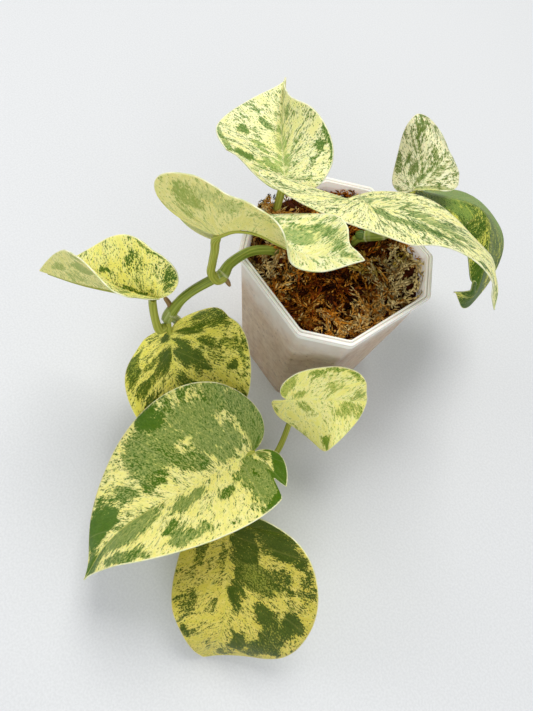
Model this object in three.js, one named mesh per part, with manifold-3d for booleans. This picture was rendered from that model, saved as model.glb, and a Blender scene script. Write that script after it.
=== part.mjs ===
// A scindapsus with cream and green leaves, in sphagnum moss in a small square nursery pot.
// Millimetres, +Z up. The origin is the centre of the pot's base, and the pot's flats face X and Y.

import * as THREE from "three";
import { mergeVertices } from "three/addons/utils/BufferGeometryUtils.js";
import Module from "manifold-3d";

const wasm = await Module();
wasm.setup();

// Pot
const potAcross = 80; // across the flats, at the lip
const potHeight = 96;
const flatHalf = 23.3; // half of each straight side at the lip, between the cut corners
const taperHeight = 510; // the walls lean towards a point this far below the lip
const wallThickness = 1.6;
const floorThickness = 2;
const lipOverhang = 1.2;
const lipDepth = 3;
const lipGroove = { from: 1.1, to: 2.1, depth: 0.6 }; // measured in from the lip's outer face
const edgeRound = 0.5;
const baseRound = 1.2;
const arrisRound = 1.4; // how far the rounding of an arris reaches to each side
const drainHoles = { count: 8, diameter: 5, circle: 40 };

// Moss
const mossLevel = 87.5; // at the middle of the pot
const mossSlope = 0.05; // it rises towards +Y
const mossGap = 0.35; // clear of the pot
const heap = { x: -33, y: -8, rise: 14, spread: 8.5 }; // the lump at the left, above the lip
const mossStrands = { count: 60, sides: 4, steps: 5 };
const twig = { diameter: 1.3, route: [[31.5, -12.5, 85], [30, -10, 88.6], [26, -6, 89.6], [22, -1, 88]] };
const bud = { diameter: 2.4, route: [[11, 34, 86], [10.4, 36, 89.5], [10, 36, 93.5]] };

// Leaves
const bladeThickness = 0.6;
const seatGap = 0.35; // between a blade and its petiole, and between a stem and the moss
const lobeShare = 0.42; // share of a margin that runs round the basal lobe
const fanShare = 0.3; // veins to this share of the margin start together at the base
const veinSpread = 1.15;
const marginSteps = 18;
const veinSteps = 3;

// Each midrib runs from the base to the tip, and each pair of values is the left half, then the right,
// looking from base to tip with the face up. Folds and lobe bends are in degrees and lift when positive.
const leaves = {
  upper: {
    midrib: [[-35, -9, 115], [-59, 6, 117], [-77, 19, 125]],
    facing: [[0.2, -0.45, 0.9], [-0.1, -0.65, 0.75]],
    halfWidth: [33, 25], lobe: [14, 6], lobeBend: [35, -30],
    foldBase: [50, 20], foldTip: [30, 70], widestAt: 0.18, tipWidth: 0, shoulder: 0.64,
  },
  long: {
    midrib: [[-9, 4, 123], [18, 26, 123], [46, 36, 122], [62, 35, 108]],
    facing: [[-0.4, 0, 0.9], [0.75, 0.6, 0.2]],
    halfWidth: [20, 18], lobe: [2, 38], lobeBend: [0, 15],
    foldBase: [-13, 0], foldTip: [11, -5], widestAt: 0.34, tipWidth: 0.13, shoulder: 0.44,
  },
  arched: {
    midrib: [[-15, -59, 134], [7, -36, 133], [27, -25, 146]],
    facing: [[-0.1, 0.8, 0.6], [-0.3, -0.7, 0.65]],
    halfWidth: [33, 24], lobe: [14, 27], lobeBend: [-5, 25],
    foldBase: [-13, 55], foldTip: [1, 23], widestAt: 0.1, tipWidth: 0.18, shoulder: 0.6,
  },
  left: {
    midrib: [[-23, -81, 94], [-49, -103, 88], [-71, -115, 78]],
    facing: [[-0.3, -0.1, 0.95], [-0.45, 0.15, 0.9]],
    halfWidth: [30, 25], lobe: [13, 7], lobeBend: [15, -15],
    foldBase: [55, 70], foldTip: [90, 20], widestAt: 0.2, tipWidth: 0.29, shoulder: 0.29,
  },
  middle: {
    midrib: [[-24, -76, 55], [4, -89, 48], [25, -96, 21]],
    facing: [[0.35, -0.55, 0.8], [0.5, -0.1, 0.85]],
    halfWidth: [39, 25], lobe: [6, 2], lobeBend: [-50, -10],
    foldBase: [10, -20], foldTip: [10, 40], widestAt: 0.23, tipWidth: 0.33, shoulder: 0.54,
  },
  largest: {
    midrib: [[48, -75, 52], [43, -139, 42], [51, -166, 30]],
    facing: [[0.1, 0.2, 1], [-0.45, -0.2, 0.85]],
    halfWidth: [36, 43], lobe: [11, 13], lobeBend: [10, 15],
    foldBase: [40, 30], foldTip: [25, -20], widestAt: 0.22, tipWidth: 0.12, shoulder: 0.66,
  },
  small: {
    midrib: [[38, -48, 60], [52, -28, 62], [58, -13, 53]],
    facing: [[0.7, -0.6, 0.4], [0.6, -0.25, 0.75]],
    halfWidth: [20, 32], lobe: [4, 11], lobeBend: [10, -40],
    foldBase: [0, -20], foldTip: [5, 20], widestAt: 0.39, tipWidth: 0.26, shoulder: 0.42,
  },
  lowest: {
    midrib: [[68, -100, 45], [102, -125, 28], [110, -140, 1]],
    facing: [[0.15, -0.65, 0.75], [0.6, -0.35, 0.75]],
    halfWidth: [42, 27], lobe: [7, 14], lobeBend: [25, 0],
    foldBase: [15, -20], foldTip: [-5, 10], widestAt: 0.29, tipWidth: 0.2, shoulder: 0.6,
  },
  upright: {
    midrib: [[-4, 42, 112], [-6, 61, 122], [-11, 73, 112]],
    facing: [[-0.5, -0.05, 0.85], [0.1, 0.3, 0.95]],
    halfWidth: [24, 14], lobe: [2, 4], lobeBend: [-5, 0],
    foldBase: [0, -35], foldTip: [30, -35], widestAt: 0.64, tipWidth: 0.13, shoulder: 0.47,
  },
  drooping: {
    midrib: [[-7, 54, 102], [22, 71, 105], [48, 50, 90], [45, 29, 103]],
    facing: [[-0.25, 0.55, 0.8], [0.9, -0.2, 0.35]],
    halfWidth: [50, 18], lobe: [10, 6], lobeBend: [0, 0],
    foldBase: [-6, -6], foldTip: [-43, -2], widestAt: 0.29, tipWidth: 0.01, shoulder: 0.2,
  },
};

// Where the stems branch, and where they enter the moss
const rootDepth = 74;
const firstNode = [-17, -52, 98];
const secondNode = [-21, -76, 80];
const thirdNode = [50, -66, 3];
const farFork = [2, 25.5, 96.5];
const farNode = [3, 34, 98.6];
const farEnd = [-4, 49, 98];

// Each stem and petiole is a route with a diameter, and a petiole ends under the base of its leaf.
const vineRoutes = {
  vine: {
    diameter: 5,
    route: [
      [-26, -20, rootDepth], [-25, -26.5, 91], [-23.6, -33, 98.3], [-21.5, -40, 100.4],
      firstNode, [-20, -63, 94], [-21.5, -71, 87], secondNode, [-26, -74, 69], [-31, -70, 56], [-26, -67, 42],
      [-8, -70, 28], [10, -72, 15], [30, -70, 5.5], [50, -66, 2.7],
    ],
  },
  arched: { diameter: 4, route: [firstNode, [-17.2, -54.5, 112], [-15.5, -57.2, 125], [-15, -59, 133.4]] },
  left: {
    diameter: 3.8,
    route: [secondNode, [-19, -81, 74.5], [-21, -85, 77], [-24, -85, 86], [-23.3, -82, 93.5]],
  },
  middle: { diameter: 3.2, route: [[-26, -74, 69], [-25.6, -76, 63], [-24.2, -76.2, 55.6]] },
  largest: { diameter: 3.6, route: [thirdNode, [55, -69, 24], [54, -73, 40], [48.5, -75, 51.6]] },
  small: { diameter: 3, route: [thirdNode, [51.5, -59, 24], [45, -50.5, 44], [38.5, -48, 59.4]] },
  lowest: { diameter: 3.4, route: [thirdNode, [62, -76, 16], [69, -90, 32], [68, -99.6, 44.6]] },
  firstRoot: { diameter: 2.2, route: [firstNode, [-13.5, -50, 96.5], [-11.4, -47.8, 94.6]] },
  secondRoot: { diameter: 2.2, route: [secondNode, [-24, -76, 83], [-25.6, -77.6, 86.4]] },
};
const lonePetiole = {
  upper: {
    diameter: 3.6,
    route: [
      [-31.5, -15, rootDepth], [-31, -15, 88], [-32.3, -13.2, 98],
      [-33.5, -11.5, 107], [-35.4, -9.2, 114.4],
    ],
  },
};
const farRoutes = {
  stem: {
    diameter: 4.2,
    route: [[-8, 13, rootDepth], [-5, 18, 90], farFork, farNode, [1, 41, 99], farEnd],
  },
  long: { diameter: 3.4, route: [farFork, [-4, 19, 106], [-9, 8, 117], [-9.4, 4.6, 122]] },
  upright: { diameter: 2.8, route: [farNode, [-3, 31, 103], [-6, 33, 107], [-4.2, 41, 111.4]] },
  drooping: { diameter: 3.2, route: [farEnd, [-6, 52.2, 99.3], [-7, 53.8, 101.4]] },
  stub: { diameter: 2.4, route: [farNode, [6.5, 33, 99.5], [8.5, 31.5, 101]] },
};
// Swellings at the nodes: place and diameter
const vineSwellings = [[firstNode, 6.4], [secondNode, 6.2], [thirdNode, 5.8]];
const farSwellings = [[farFork, 5], [farNode, 5.2], [farEnd, 4.6]];
const stemSides = 8;
const stemStep = 4; // length of one straight piece of a stem

const potMaterial = { color: 0xd8d2cc, roughness: 0.42, metalness: 0 };
const mossMaterial = { color: 0x8f6134, roughness: 0.95, metalness: 0 };
const stemMaterial = { color: 0x86993f, roughness: 0.5, metalness: 0 };
const leafMaterial = { color: 0xd6d98a, roughness: 0.48, metalness: 0 };

// A closed geometry as a body that can be cut and joined
function solidOf(geometry) {
  const bare = new THREE.BufferGeometry();
  bare.setAttribute("position", geometry.attributes.position);
  bare.setIndex(geometry.index);
  const merged = mergeVertices(bare, 1e-4);
  const corners = merged.index.array;
  const triVerts = [];
  for (let i = 0; i < corners.length; i += 3) {
    const [a, b, c] = corners.subarray(i, i + 3);
    if (a !== b && b !== c && c !== a) triVerts.push(a, b, c);
  }
  return new wasm.Manifold(
    new wasm.Mesh({
      numProp: 3,
      vertProperties: new Float32Array(merged.attributes.position.array),
      triVerts: new Uint32Array(triVerts),
    }),
  );
}

function largestBody(solid) {
  return solid.decompose().reduce((best, body) => (body.volume() > best.volume() ? body : best));
}

function meshOf(name, solid, look) {
  const { vertProperties, triVerts } = solid.getMesh();
  const geometry = new THREE.BufferGeometry();
  geometry.setAttribute("position", new THREE.BufferAttribute(vertProperties, 3));
  geometry.setIndex(new THREE.BufferAttribute(triVerts, 1));
  geometry.computeVertexNormals();
  const mesh = new THREE.Mesh(geometry, new THREE.MeshStandardMaterial(look));
  mesh.name = name;
  return mesh;
}

function curveThrough(points) {
  const places = points.map((point) => new THREE.Vector3(...point));
  return new THREE.CatmullRomCurve3(places, false, "catmullrom", 0.5);
}

function tube(points, diameter, sides, steps) {
  const corners = Array.from({ length: sides }, (_, i) => {
    const angle = (2 * Math.PI * i) / sides;
    return new THREE.Vector2(Math.cos(angle), Math.sin(angle)).multiplyScalar(diameter / 2);
  });
  const section = new THREE.Shape(corners);
  const extrudePath = curveThrough(points);
  return solidOf(new THREE.ExtrudeGeometry(section, { steps, bevelEnabled: false, extrudePath }));
}

// Pot: a turned profile moved onto the plan of a square with cut corners and rounded arrises

const potHalf = potAcross / 2;

function planOutline() {
  const short = flatHalf / potHalf;
  const reach = arrisRound / potHalf;
  const corners = [
    [short, -1], [1, -short], [1, short], [short, 1],
    [-short, 1], [-1, short], [-1, -short], [-short, -1],
  ].map(([x, y]) => new THREE.Vector2(x, y));
  const towards = (from, to) => from.clone().add(to.clone().sub(from).setLength(reach));
  return corners.flatMap((corner, i) => [
    towards(corner, corners[(i + 7) % 8]),
    towards(corner, corners[(i + 1) % 8]),
  ]);
}
const planPoints = planOutline();

function planPoint(turn) {
  const place = turn * planPoints.length;
  const before = Math.floor(place);
  const from = planPoints[before % planPoints.length];
  const to = planPoints[(before + 1) % planPoints.length];
  return from.clone().lerp(to, place - before);
}

// How much narrower the pot is at a height than at its lip
function taperAt(height) {
  return 1 - (potHeight - height) / taperHeight;
}

// Turns a profile of half widths and heights, and moves each turned point onto the plan.
function turnedOnPlan(profile, steps) {
  const geometry = new THREE.LatheGeometry(profile, steps);
  const position = geometry.attributes.position;
  for (let i = 0; i < position.count; i++) {
    const { x: half, y: height } = profile[i % profile.length];
    const spot = planPoint(Math.floor(i / profile.length) / steps).multiplyScalar(half);
    position.setXYZ(i, spot.x, spot.y, height);
  }
  return geometry;
}

const wallTopHalf = potHalf - lipOverhang;
const outerHalfAt = (height) => wallTopHalf * taperAt(height);
const innerHalfAt = (height) => outerHalfAt(height) - wallThickness;

function pot() {
  const lipBottom = potHeight - lipDepth;
  const underLip = lipBottom - edgeRound;
  const profile = [
    [0, 0],
    [outerHalfAt(0) - baseRound, 0],
    [outerHalfAt(baseRound), baseRound],
    [outerHalfAt(underLip), underLip],
    [potHalf, lipBottom],
    [potHalf, potHeight - edgeRound],
    [potHalf - edgeRound, potHeight],
    [potHalf - lipGroove.from, potHeight],
    [potHalf - lipGroove.from - 0.3, potHeight - lipGroove.depth],
    [potHalf - lipGroove.to + 0.3, potHeight - lipGroove.depth],
    [potHalf - lipGroove.to, potHeight],
    [potHalf - lipGroove.to - 0.4, potHeight],
    [innerHalfAt(potHeight), potHeight - edgeRound],
    [innerHalfAt(floorThickness), floorThickness],
    [0, floorThickness],
  ].map(([half, height]) => new THREE.Vector2(half, height));
  let body = solidOf(turnedOnPlan(profile, planPoints.length));
  for (let i = 0; i < drainHoles.count; i++) {
    const radius = drainHoles.diameter / 2;
    const hole = new THREE.CylinderGeometry(radius, radius, 4 * floorThickness, 12);
    const angle = (2 * Math.PI * (i + 0.5)) / drainHoles.count;
    hole.rotateX(Math.PI / 2);
    hole.translate((drainHoles.circle / 2) * Math.cos(angle), (drainHoles.circle / 2) * Math.sin(angle), 0);
    body = body.subtract(solidOf(hole));
  }
  return body;
}

// Stems: routes joined into one body, clear of every blade

function stemBody(routes, swellings, clearance = 0) {
  let body;
  for (const { route, diameter } of Object.values(routes)) {
    const points = route.map((point) => [...point]);
    if (points[0][2] === rootDepth) points[0][2] -= clearance;
    const steps = Math.max(4, Math.round(curveThrough(points).getLength() / stemStep));
    const piece = tube(points, diameter + 2 * clearance, stemSides, steps);
    body = body ? body.add(piece) : piece;
  }
  for (const [place, diameter] of swellings) {
    const bead = new THREE.SphereGeometry(diameter / 2 + clearance, stemSides, 6);
    bead.translate(...place);
    body = body.add(solidOf(bead));
  }
  return body;
}

// Leaf blades: each half is a fan of veins from the midrib to the margin

for (const leaf of Object.values(leaves)) {
  leaf.curve = curveThrough(leaf.midrib);
  leaf.length = leaf.curve.getLength();
  leaf.up = leaf.facing.map((facing) => new THREE.Vector3(...facing).normalize());
}

// The flat outline of one half: x along the midrib, y out from it.
function outline(leaf, half, share) {
  const width = leaf.halfWidth[half];
  const widest = leaf.widestAt * leaf.length;
  const rest = leaf.length - widest;
  const back = -(leaf.lobe[half] + 0.125 * widest) / 0.75;
  const lobe = [[0, 0], [back, 0.1 * width], [back, width], [widest, width]];
  const point = [
    [widest, width], [widest + leaf.shoulder * rest, width],
    [leaf.length - 0.16 * rest, leaf.tipWidth * width], [leaf.length, 0],
  ];
  const onLobe = share < lobeShare;
  const corners = (onLobe ? lobe : point).map(([x, y]) => new THREE.Vector2(x, y));
  const along = onLobe ? share / lobeShare : (share - lobeShare) / (1 - lobeShare);
  return new THREE.CubicBezierCurve(...corners).getPoint(along);
}

// The place and the facing of a blade at a share of its margin, some way out from its midrib.
function bladeAt(leaf, half, share, out) {
  const edge = outline(leaf, half, share);
  const start = leaf.length * Math.max(0, (share - fanShare) / (1 - fanShare)) ** veinSpread;
  const along = start + (edge.x - start) * out;
  const across = edge.y * out;
  const part = THREE.MathUtils.clamp(along / leaf.length, 0, 1);
  const place = leaf.curve.getPointAt(part);
  const forward = leaf.curve.getTangentAt(part);
  const up = leaf.up[0].clone().lerp(leaf.up[1], part);
  up.addScaledVector(forward, -up.dot(forward)).normalize();
  const sideways = new THREE.Vector3().crossVectors(forward, up).multiplyScalar(half ? 1 : -1);
  if (along < 0) {
    const bend = THREE.MathUtils.degToRad(leaf.lobeBend[half]) / leaf.lobe[half] || 1e-6;
    const turn = -bend * along;
    place.addScaledVector(forward, -Math.sin(turn) / bend);
    place.addScaledVector(up, (1 - Math.cos(turn)) / bend);
    up.multiplyScalar(Math.cos(turn)).addScaledVector(forward, Math.sin(turn));
  }
  const fold = THREE.MathUtils.degToRad(THREE.MathUtils.lerp(leaf.foldBase[half], leaf.foldTip[half], part));
  place.addScaledVector(sideways, across * Math.cos(fold)).addScaledVector(up, across * Math.sin(fold));
  const facing = up.multiplyScalar(Math.cos(fold)).addScaledVector(sideways, -Math.sin(fold));
  return { place, facing, onMidrib: across < 1e-6 };
}

// How far the face lies from the middle of the blade, for one millimetre of half thickness
function bladeOffset(leaf, half, share, out) {
  const { facing, onMidrib } = bladeAt(leaf, half, share, out);
  if (!onMidrib) return facing;
  const other = bladeAt(leaf, 1 - half, share, out).facing;
  const middle = facing.clone().add(other).normalize();
  return middle.divideScalar(Math.max(0.5, middle.dot(facing)));
}

function blade(leaf, thickness) {
  const sheet = new THREE.PlaneGeometry(2, 1, 2 * veinSteps, marginSteps);
  const grid = sheet.attributes.position;
  const columns = 2 * veinSteps + 1;
  const places = [];
  for (const face of [1, -1]) {
    for (let i = 0; i < grid.count; i++) {
      const half = grid.getX(i) < 0 ? 0 : 1;
      const where = [leaf, half, grid.getY(i) + 0.5, Math.abs(grid.getX(i))];
      const offset = bladeOffset(...where).multiplyScalar((face * thickness) / 2);
      places.push(...bladeAt(...where).place.add(offset).toArray());
    }
  }
  const corners = [];
  const faces = sheet.index.array;
  for (let i = 0; i < faces.length; i += 3) {
    const [a, b, c] = faces.subarray(i, i + 3);
    corners.push(a, b, c, a + grid.count, c + grid.count, b + grid.count);
  }
  for (let row = 0; row < marginSteps; row++) {
    const left = row * columns;
    const right = left + columns - 1;
    for (const [from, to] of [[left, left + columns], [right + columns, right]]) {
      corners.push(from, from + grid.count, to + grid.count, from, to + grid.count, to);
    }
  }
  const geometry = new THREE.BufferGeometry();
  geometry.setAttribute("position", new THREE.Float32BufferAttribute(places, 3));
  geometry.setIndex(corners);
  return solidOf(geometry);
}

// Moss: a bumpy mound that fills the pot, with curled strands grown into its top

function mossHeight(x, y) {
  const far = (x - heap.x) ** 2 + (y - heap.y) ** 2;
  const lump = heap.rise * Math.exp(-far / (2 * heap.spread ** 2));
  const bumps = 1.3 * Math.sin(0.33 * x + 0.8) * Math.cos(0.29 * y - 0.5) + 0.6 * Math.sin(0.8 * x - 0.5 * y);
  return mossLevel + mossSlope * y + lump + bumps;
}

const mossHalfAt = (height) => innerHalfAt(height) - mossGap;
const mossBottom = floorThickness + mossGap;

function mossMound() {
  const rings = [1, 0.9, 0.78, 0.64, 0.48, 0.32, 0.16, 0];
  const topHalf = mossHalfAt(mossLevel);
  const profile = [
    new THREE.Vector2(0, mossBottom),
    new THREE.Vector2(mossHalfAt(mossBottom), mossBottom),
    ...rings.map((share) => new THREE.Vector2(share * topHalf, mossLevel)),
  ];
  const geometry = turnedOnPlan(profile, 2 * planPoints.length);
  const position = geometry.attributes.position;
  for (let i = 0; i < position.count; i++) {
    if (position.getZ(i) < mossLevel) continue;
    const height = mossHeight(position.getX(i), position.getY(i));
    position.setZ(i, height);
  }
  return solidOf(geometry);
}

// The room inside the pot and straight up from its lip
function mossRoom() {
  const top = potHeight + 30;
  const profile = [
    [0, mossBottom],
    [mossHalfAt(mossBottom), mossBottom],
    [mossHalfAt(potHeight), potHeight],
    [mossHalfAt(potHeight), top],
    [0, top],
  ].map(([half, height]) => new THREE.Vector2(half, height));
  return solidOf(turnedOnPlan(profile, planPoints.length));
}

// A repeatable run of numbers between 0 and 1
function numbersFrom(seed) {
  let state = seed;
  return () => {
    state = (state * 48271) % 2147483647;
    return state / 2147483647;
  };
}

// Draws a spot in until it lies on the moss, clear of the wall.
function insidePot(x, y, clear) {
  const half = mossHalfAt(mossLevel) - clear;
  const corner = half * (1 + flatHalf / potHalf);
  const shrink = Math.min(1, half / Math.abs(x), half / Math.abs(y), corner / (Math.abs(x) + Math.abs(y)));
  return [x * shrink, y * shrink];
}

function mossTop() {
  const next = numbersFrom(7);
  const goldenTurn = Math.PI * (3 - Math.sqrt(5));
  let body = mossMound();
  for (let i = 0; i < mossStrands.count; i++) {
    const radius = 41 * Math.sqrt((i + 0.5) / mossStrands.count);
    const heading = 2 * Math.PI * next();
    const reach = 3 + 3 * next();
    const rise = 1.2 + 2.6 * next();
    const curl = (next() - 0.5) * 5;
    const diameter = 1.3 + 0.9 * next();
    const bends = [[-1.1, -1.8], [-0.6, 0.6], [0, 1], [0.6, 0.7], [1.1, -1.2 + 2 * next()]];
    const points = bends.map(([t, lift]) => {
      const bow = curl * (1 - t * t);
      const [x, y] = insidePot(
        radius * Math.cos(goldenTurn * i) + t * reach * Math.cos(heading) - bow * Math.sin(heading),
        radius * Math.sin(goldenTurn * i) + t * reach * Math.sin(heading) + bow * Math.cos(heading),
        diameter / 2 + 0.6,
      );
      return [x, y, mossHeight(x, y) + lift * (lift > 0 ? rise : 1)];
    });
    body = body.add(tube(points, diameter, mossStrands.sides, mossStrands.steps));
  }
  for (const { route, diameter } of [twig, bud]) {
    body = body.add(tube(route, diameter, mossStrands.sides + 1, mossStrands.steps));
  }
  return body.intersect(mossRoom());
}

const blades = Object.fromEntries(
  Object.entries(leaves).map(([name, leaf]) => [name, blade(leaf, bladeThickness)]),
);

// Cuts a stem back from the blades. The narrow gap is cut too, because a thicker blade rounds its lobes more.
function clearOfBlades(stem) {
  let rest = stem;
  for (const leaf of Object.values(leaves)) {
    for (const gap of [seatGap, seatGap / 3]) {
      rest = rest.subtract(blade(leaf, bladeThickness + 2 * gap));
    }
  }
  return rest;
}

const stems = {
  vine: [vineRoutes, vineSwellings],
  petiole_upper: [lonePetiole, []],
  far_stem: [farRoutes, farSwellings],
};

let moss = mossTop();
for (const [routes, swellings] of Object.values(stems)) {
  moss = moss.subtract(stemBody(routes, swellings, seatGap));
}

const plant = new THREE.Group();
plant.name = "potted_scindapsus";
plant.add(meshOf("pot", pot(), potMaterial));
plant.add(meshOf("moss", largestBody(moss), mossMaterial));
for (const [name, [routes, swellings]] of Object.entries(stems)) {
  const body = largestBody(clearOfBlades(stemBody(routes, swellings)));
  plant.add(meshOf(name, body, stemMaterial));
}
for (const [name, solid] of Object.entries(blades)) {
  plant.add(meshOf("leaf_" + name, solid, leafMaterial));
}

export default plant;
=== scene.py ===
# Scindapsus with cream and green leaves in a small nursery pot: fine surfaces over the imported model
import bisect
import math
import random

import bmesh
import bpy
from mathutils import Matrix, Quaternion, Vector, noise


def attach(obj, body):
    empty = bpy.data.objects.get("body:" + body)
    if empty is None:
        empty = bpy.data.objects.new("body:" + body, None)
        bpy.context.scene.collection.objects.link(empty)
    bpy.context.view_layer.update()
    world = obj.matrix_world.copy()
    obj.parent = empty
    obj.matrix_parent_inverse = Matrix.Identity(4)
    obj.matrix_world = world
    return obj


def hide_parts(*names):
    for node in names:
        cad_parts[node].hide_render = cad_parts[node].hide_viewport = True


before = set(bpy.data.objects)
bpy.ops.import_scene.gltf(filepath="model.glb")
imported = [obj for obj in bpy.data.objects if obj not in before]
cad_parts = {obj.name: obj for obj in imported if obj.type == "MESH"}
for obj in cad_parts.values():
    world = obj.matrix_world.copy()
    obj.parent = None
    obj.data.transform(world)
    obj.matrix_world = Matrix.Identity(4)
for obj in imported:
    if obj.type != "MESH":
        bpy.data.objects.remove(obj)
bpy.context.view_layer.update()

mm = 0.001  # lengths below are in millimetres, and become metres where a mesh is written


# Small helpers for numbers, colours, nodes and objects

def clamp(value, low=0.0, high=1.0):
    return max(low, min(high, value))


def blendValue(first, second, share):
    return first + (second - first) * share


def smoothStep(low, high, value):
    share = clamp((value - low) / (high - low))
    return share * share * (3 - 2 * share)


def colour(code):
    # the linear colour that Blender takes, from a picture colour's hex code
    parts = [int(code[i:i + 2], 16) / 255 for i in (0, 2, 4)]
    linear = [part / 12.92 if part <= 0.04045 else ((part + 0.055) / 1.055) ** 2.4 for part in parts]
    return (*linear, 1.0)


def setAll(thing, **settings):
    for name, value in settings.items():
        setattr(thing, name, value)
    return thing


class NodeBench:
    # adds nodes to one tree and wires them

    def __init__(self, tree):
        self.tree = tree

    def feed(self, socket, value):
        # a text is taken as a colour's hex code
        if isinstance(value, bpy.types.NodeSocket):
            self.tree.links.new(value, socket)
        else:
            socket.default_value = colour(value) if isinstance(value, str) else value

    def give(self, node, **inputs):
        # feeds sockets by their names, with an underscore for each space
        for name, value in inputs.items():
            self.feed(node.inputs[name.replace("_", " ")], value)
        return node

    def add(self, kind, settings=None, **inputs):
        node = setAll(self.tree.nodes.new(kind), **(settings or {}))
        return self.give(node, **inputs)

    def maths(self, operation, *values):
        node = self.add("ShaderNodeMath", {"operation": operation})
        for socket, value in zip(node.inputs, values):
            self.feed(socket, value)
        return node.outputs[0]

    def times(self, first, second, added=0.0):
        return self.maths("MULTIPLY_ADD", first, second, added)

    def minus(self, first, second):
        return self.maths("SUBTRACT", first, second)

    def mix(self, share, first, second):
        node = self.add("ShaderNodeMix", {"data_type": "RGBA"})
        for number, value in ((0, share), (6, first), (7, second)):
            self.feed(node.inputs[number], value)
        return node.outputs[2]

    def ramp(self, value, low, high, toLow=0.0, toHigh=1.0):
        return self.add("ShaderNodeMapRange", {"interpolation_type": "SMOOTHSTEP"}, Value=value, From_Min=low,
                        From_Max=high, To_Min=toLow, To_Max=toHigh).outputs[0]

    def grain(self, vector, scale, detail=2.0, roughness=0.5, place=(0, 0, 0), distortion=0.0):
        mapping = self.add("ShaderNodeMapping", Vector=vector, Scale=scale, Location=place)
        return self.add("ShaderNodeTexNoise", Vector=mapping.outputs[0], Scale=1.0, Detail=detail,
                        Roughness=roughness, Distortion=distortion).outputs["Fac"]

    def spread(self, value, reach, middle=0.5):
        # noise gathers round a half, and this stretches it round the middle
        return self.times(self.minus(value, 0.5), reach, middle)

    def bump(self, height, strength, distance):
        return self.add("ShaderNodeBump", Height=height, Strength=strength, Distance=distance).outputs[0]

    def objectSpot(self):
        return self.add("ShaderNodeTexCoord").outputs["Object"]

    def attribute(self, name):
        # the four numbers of a colour attribute
        node = self.add("ShaderNodeAttribute", {"attribute_name": name})
        parts = self.add("ShaderNodeSeparateColor", Color=node.outputs["Color"])
        return (*parts.outputs, node.outputs["Alpha"])


def newMaterial(name):
    material = bpy.data.materials.new(name)
    material.use_nodes = True
    material.node_tree.nodes.clear()
    bench = NodeBench(material.node_tree)
    shader = bench.add("ShaderNodeBsdfPrincipled")
    bench.add("ShaderNodeOutputMaterial", Surface=shader.outputs[0])
    return material, bench, shader


def grainMaterial(name, light, deep, scale, low, high, roughness):
    # a plain surface whose tone wavers between two colours
    material, bench, shader = newMaterial(name)
    grain = bench.grain(bench.objectSpot(), (scale, scale, scale), detail=2)
    bench.give(shader, Base_Color=bench.mix(bench.ramp(grain, low, high), light, deep), Roughness=roughness)
    return material


def newMesh(name, bm, materials=()):
    mesh = bpy.data.meshes.new(name)
    bm.to_mesh(mesh)
    bm.free()
    mesh.shade_smooth()
    for material in materials:
        mesh.materials.append(material)
    return mesh


def newObject(name, data):
    added = bpy.data.objects.new(name, data)
    bpy.context.scene.collection.objects.link(added)
    return added


def newPiece(name, bm, materials, replaced=()):
    piece = newObject(name, newMesh(name, bm, materials))
    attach(piece, "root")
    if replaced:
        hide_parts(*replaced)
    return piece


# Smooth routes, for midribs, stems and strands

def pointBefore(spot, points):
    # number of the point before a spot, and the share of the way to the next one
    before = min(int(spot), len(points) - 2)
    return before, spot - before


def routeTable(points, samples=160):
    # places, directions and running length along a curve through the points
    places = [Vector(point[:3]) for point in points]
    ends = [2 * places[0] - places[1]] + places + [2 * places[-1] - places[-2]]
    spots = []
    for step in range(samples + 1):
        k, t = pointBefore(step / samples * (len(places) - 1), places)
        p0, p1, p2, p3 = ends[k:k + 4]
        spots.append(0.5 * (2 * p1 + (p2 - p0) * t + (2 * p0 - 5 * p1 + 4 * p2 - p3) * t * t
                            + (3 * p1 - p0 - 3 * p2 + p3) * t ** 3))
    run = runningLength(spots)
    heading = [(spots[min(k + 1, samples)] - spots[max(k - 1, 0)]).normalized() for k in range(samples + 1)]
    return {"spots": spots, "run": run, "heading": heading, "length": run[-1]}


def runningLength(points):
    run = [0.0]
    for before, after in zip(points, points[1:]):
        run.append(run[-1] + (after - before).length)
    return run


def onRoute(table, distance):
    run, spots, heading = table["run"], table["spots"], table["heading"]
    distance = clamp(distance, 0, table["length"])
    k = min(bisect.bisect_right(run, distance), len(run) - 1) - 1
    share = (distance - run[k]) / max(run[k + 1] - run[k], 1e-9)
    return spots[k].lerp(spots[k + 1], share), heading[k].lerp(heading[k + 1], share).normalized()


def squareTo(heading, direction):
    return (direction - heading * direction.dot(heading)).normalized()


def carriedAlong(headings, side):
    # a direction square to each heading in turn, which doesn't twist on the way
    sides = []
    for heading in headings:
        side = squareTo(heading, side)
        sides.append(side)
    return sides


def gridSpots(bm, columns, rows):
    # lays a flat grid, and yields each vertex with its column and its row
    for vert in bmesh.ops.create_grid(bm, x_segments=columns, y_segments=rows, size=1)["verts"]:
        yield vert, round((vert.co.x + 1) / 2 * columns), round((vert.co.y + 1) / 2 * rows)


def tubeSpots(bm, route, outward, sides):
    # yields each vertex of a grid to be laid round a route, with its row, its turn and its two directions out
    for vert, column, row in gridSpots(bm, sides, len(outward) - 1):
        side = outward[row]
        yield vert, row, column / sides * math.tau, side, route["heading"][row].cross(side)


# Leaf blades. "Along" is a share of the margin from petiole to tip, "out" a share of the way from the midrib
# to the margin. A pair holds the left half, then the right one.

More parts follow.
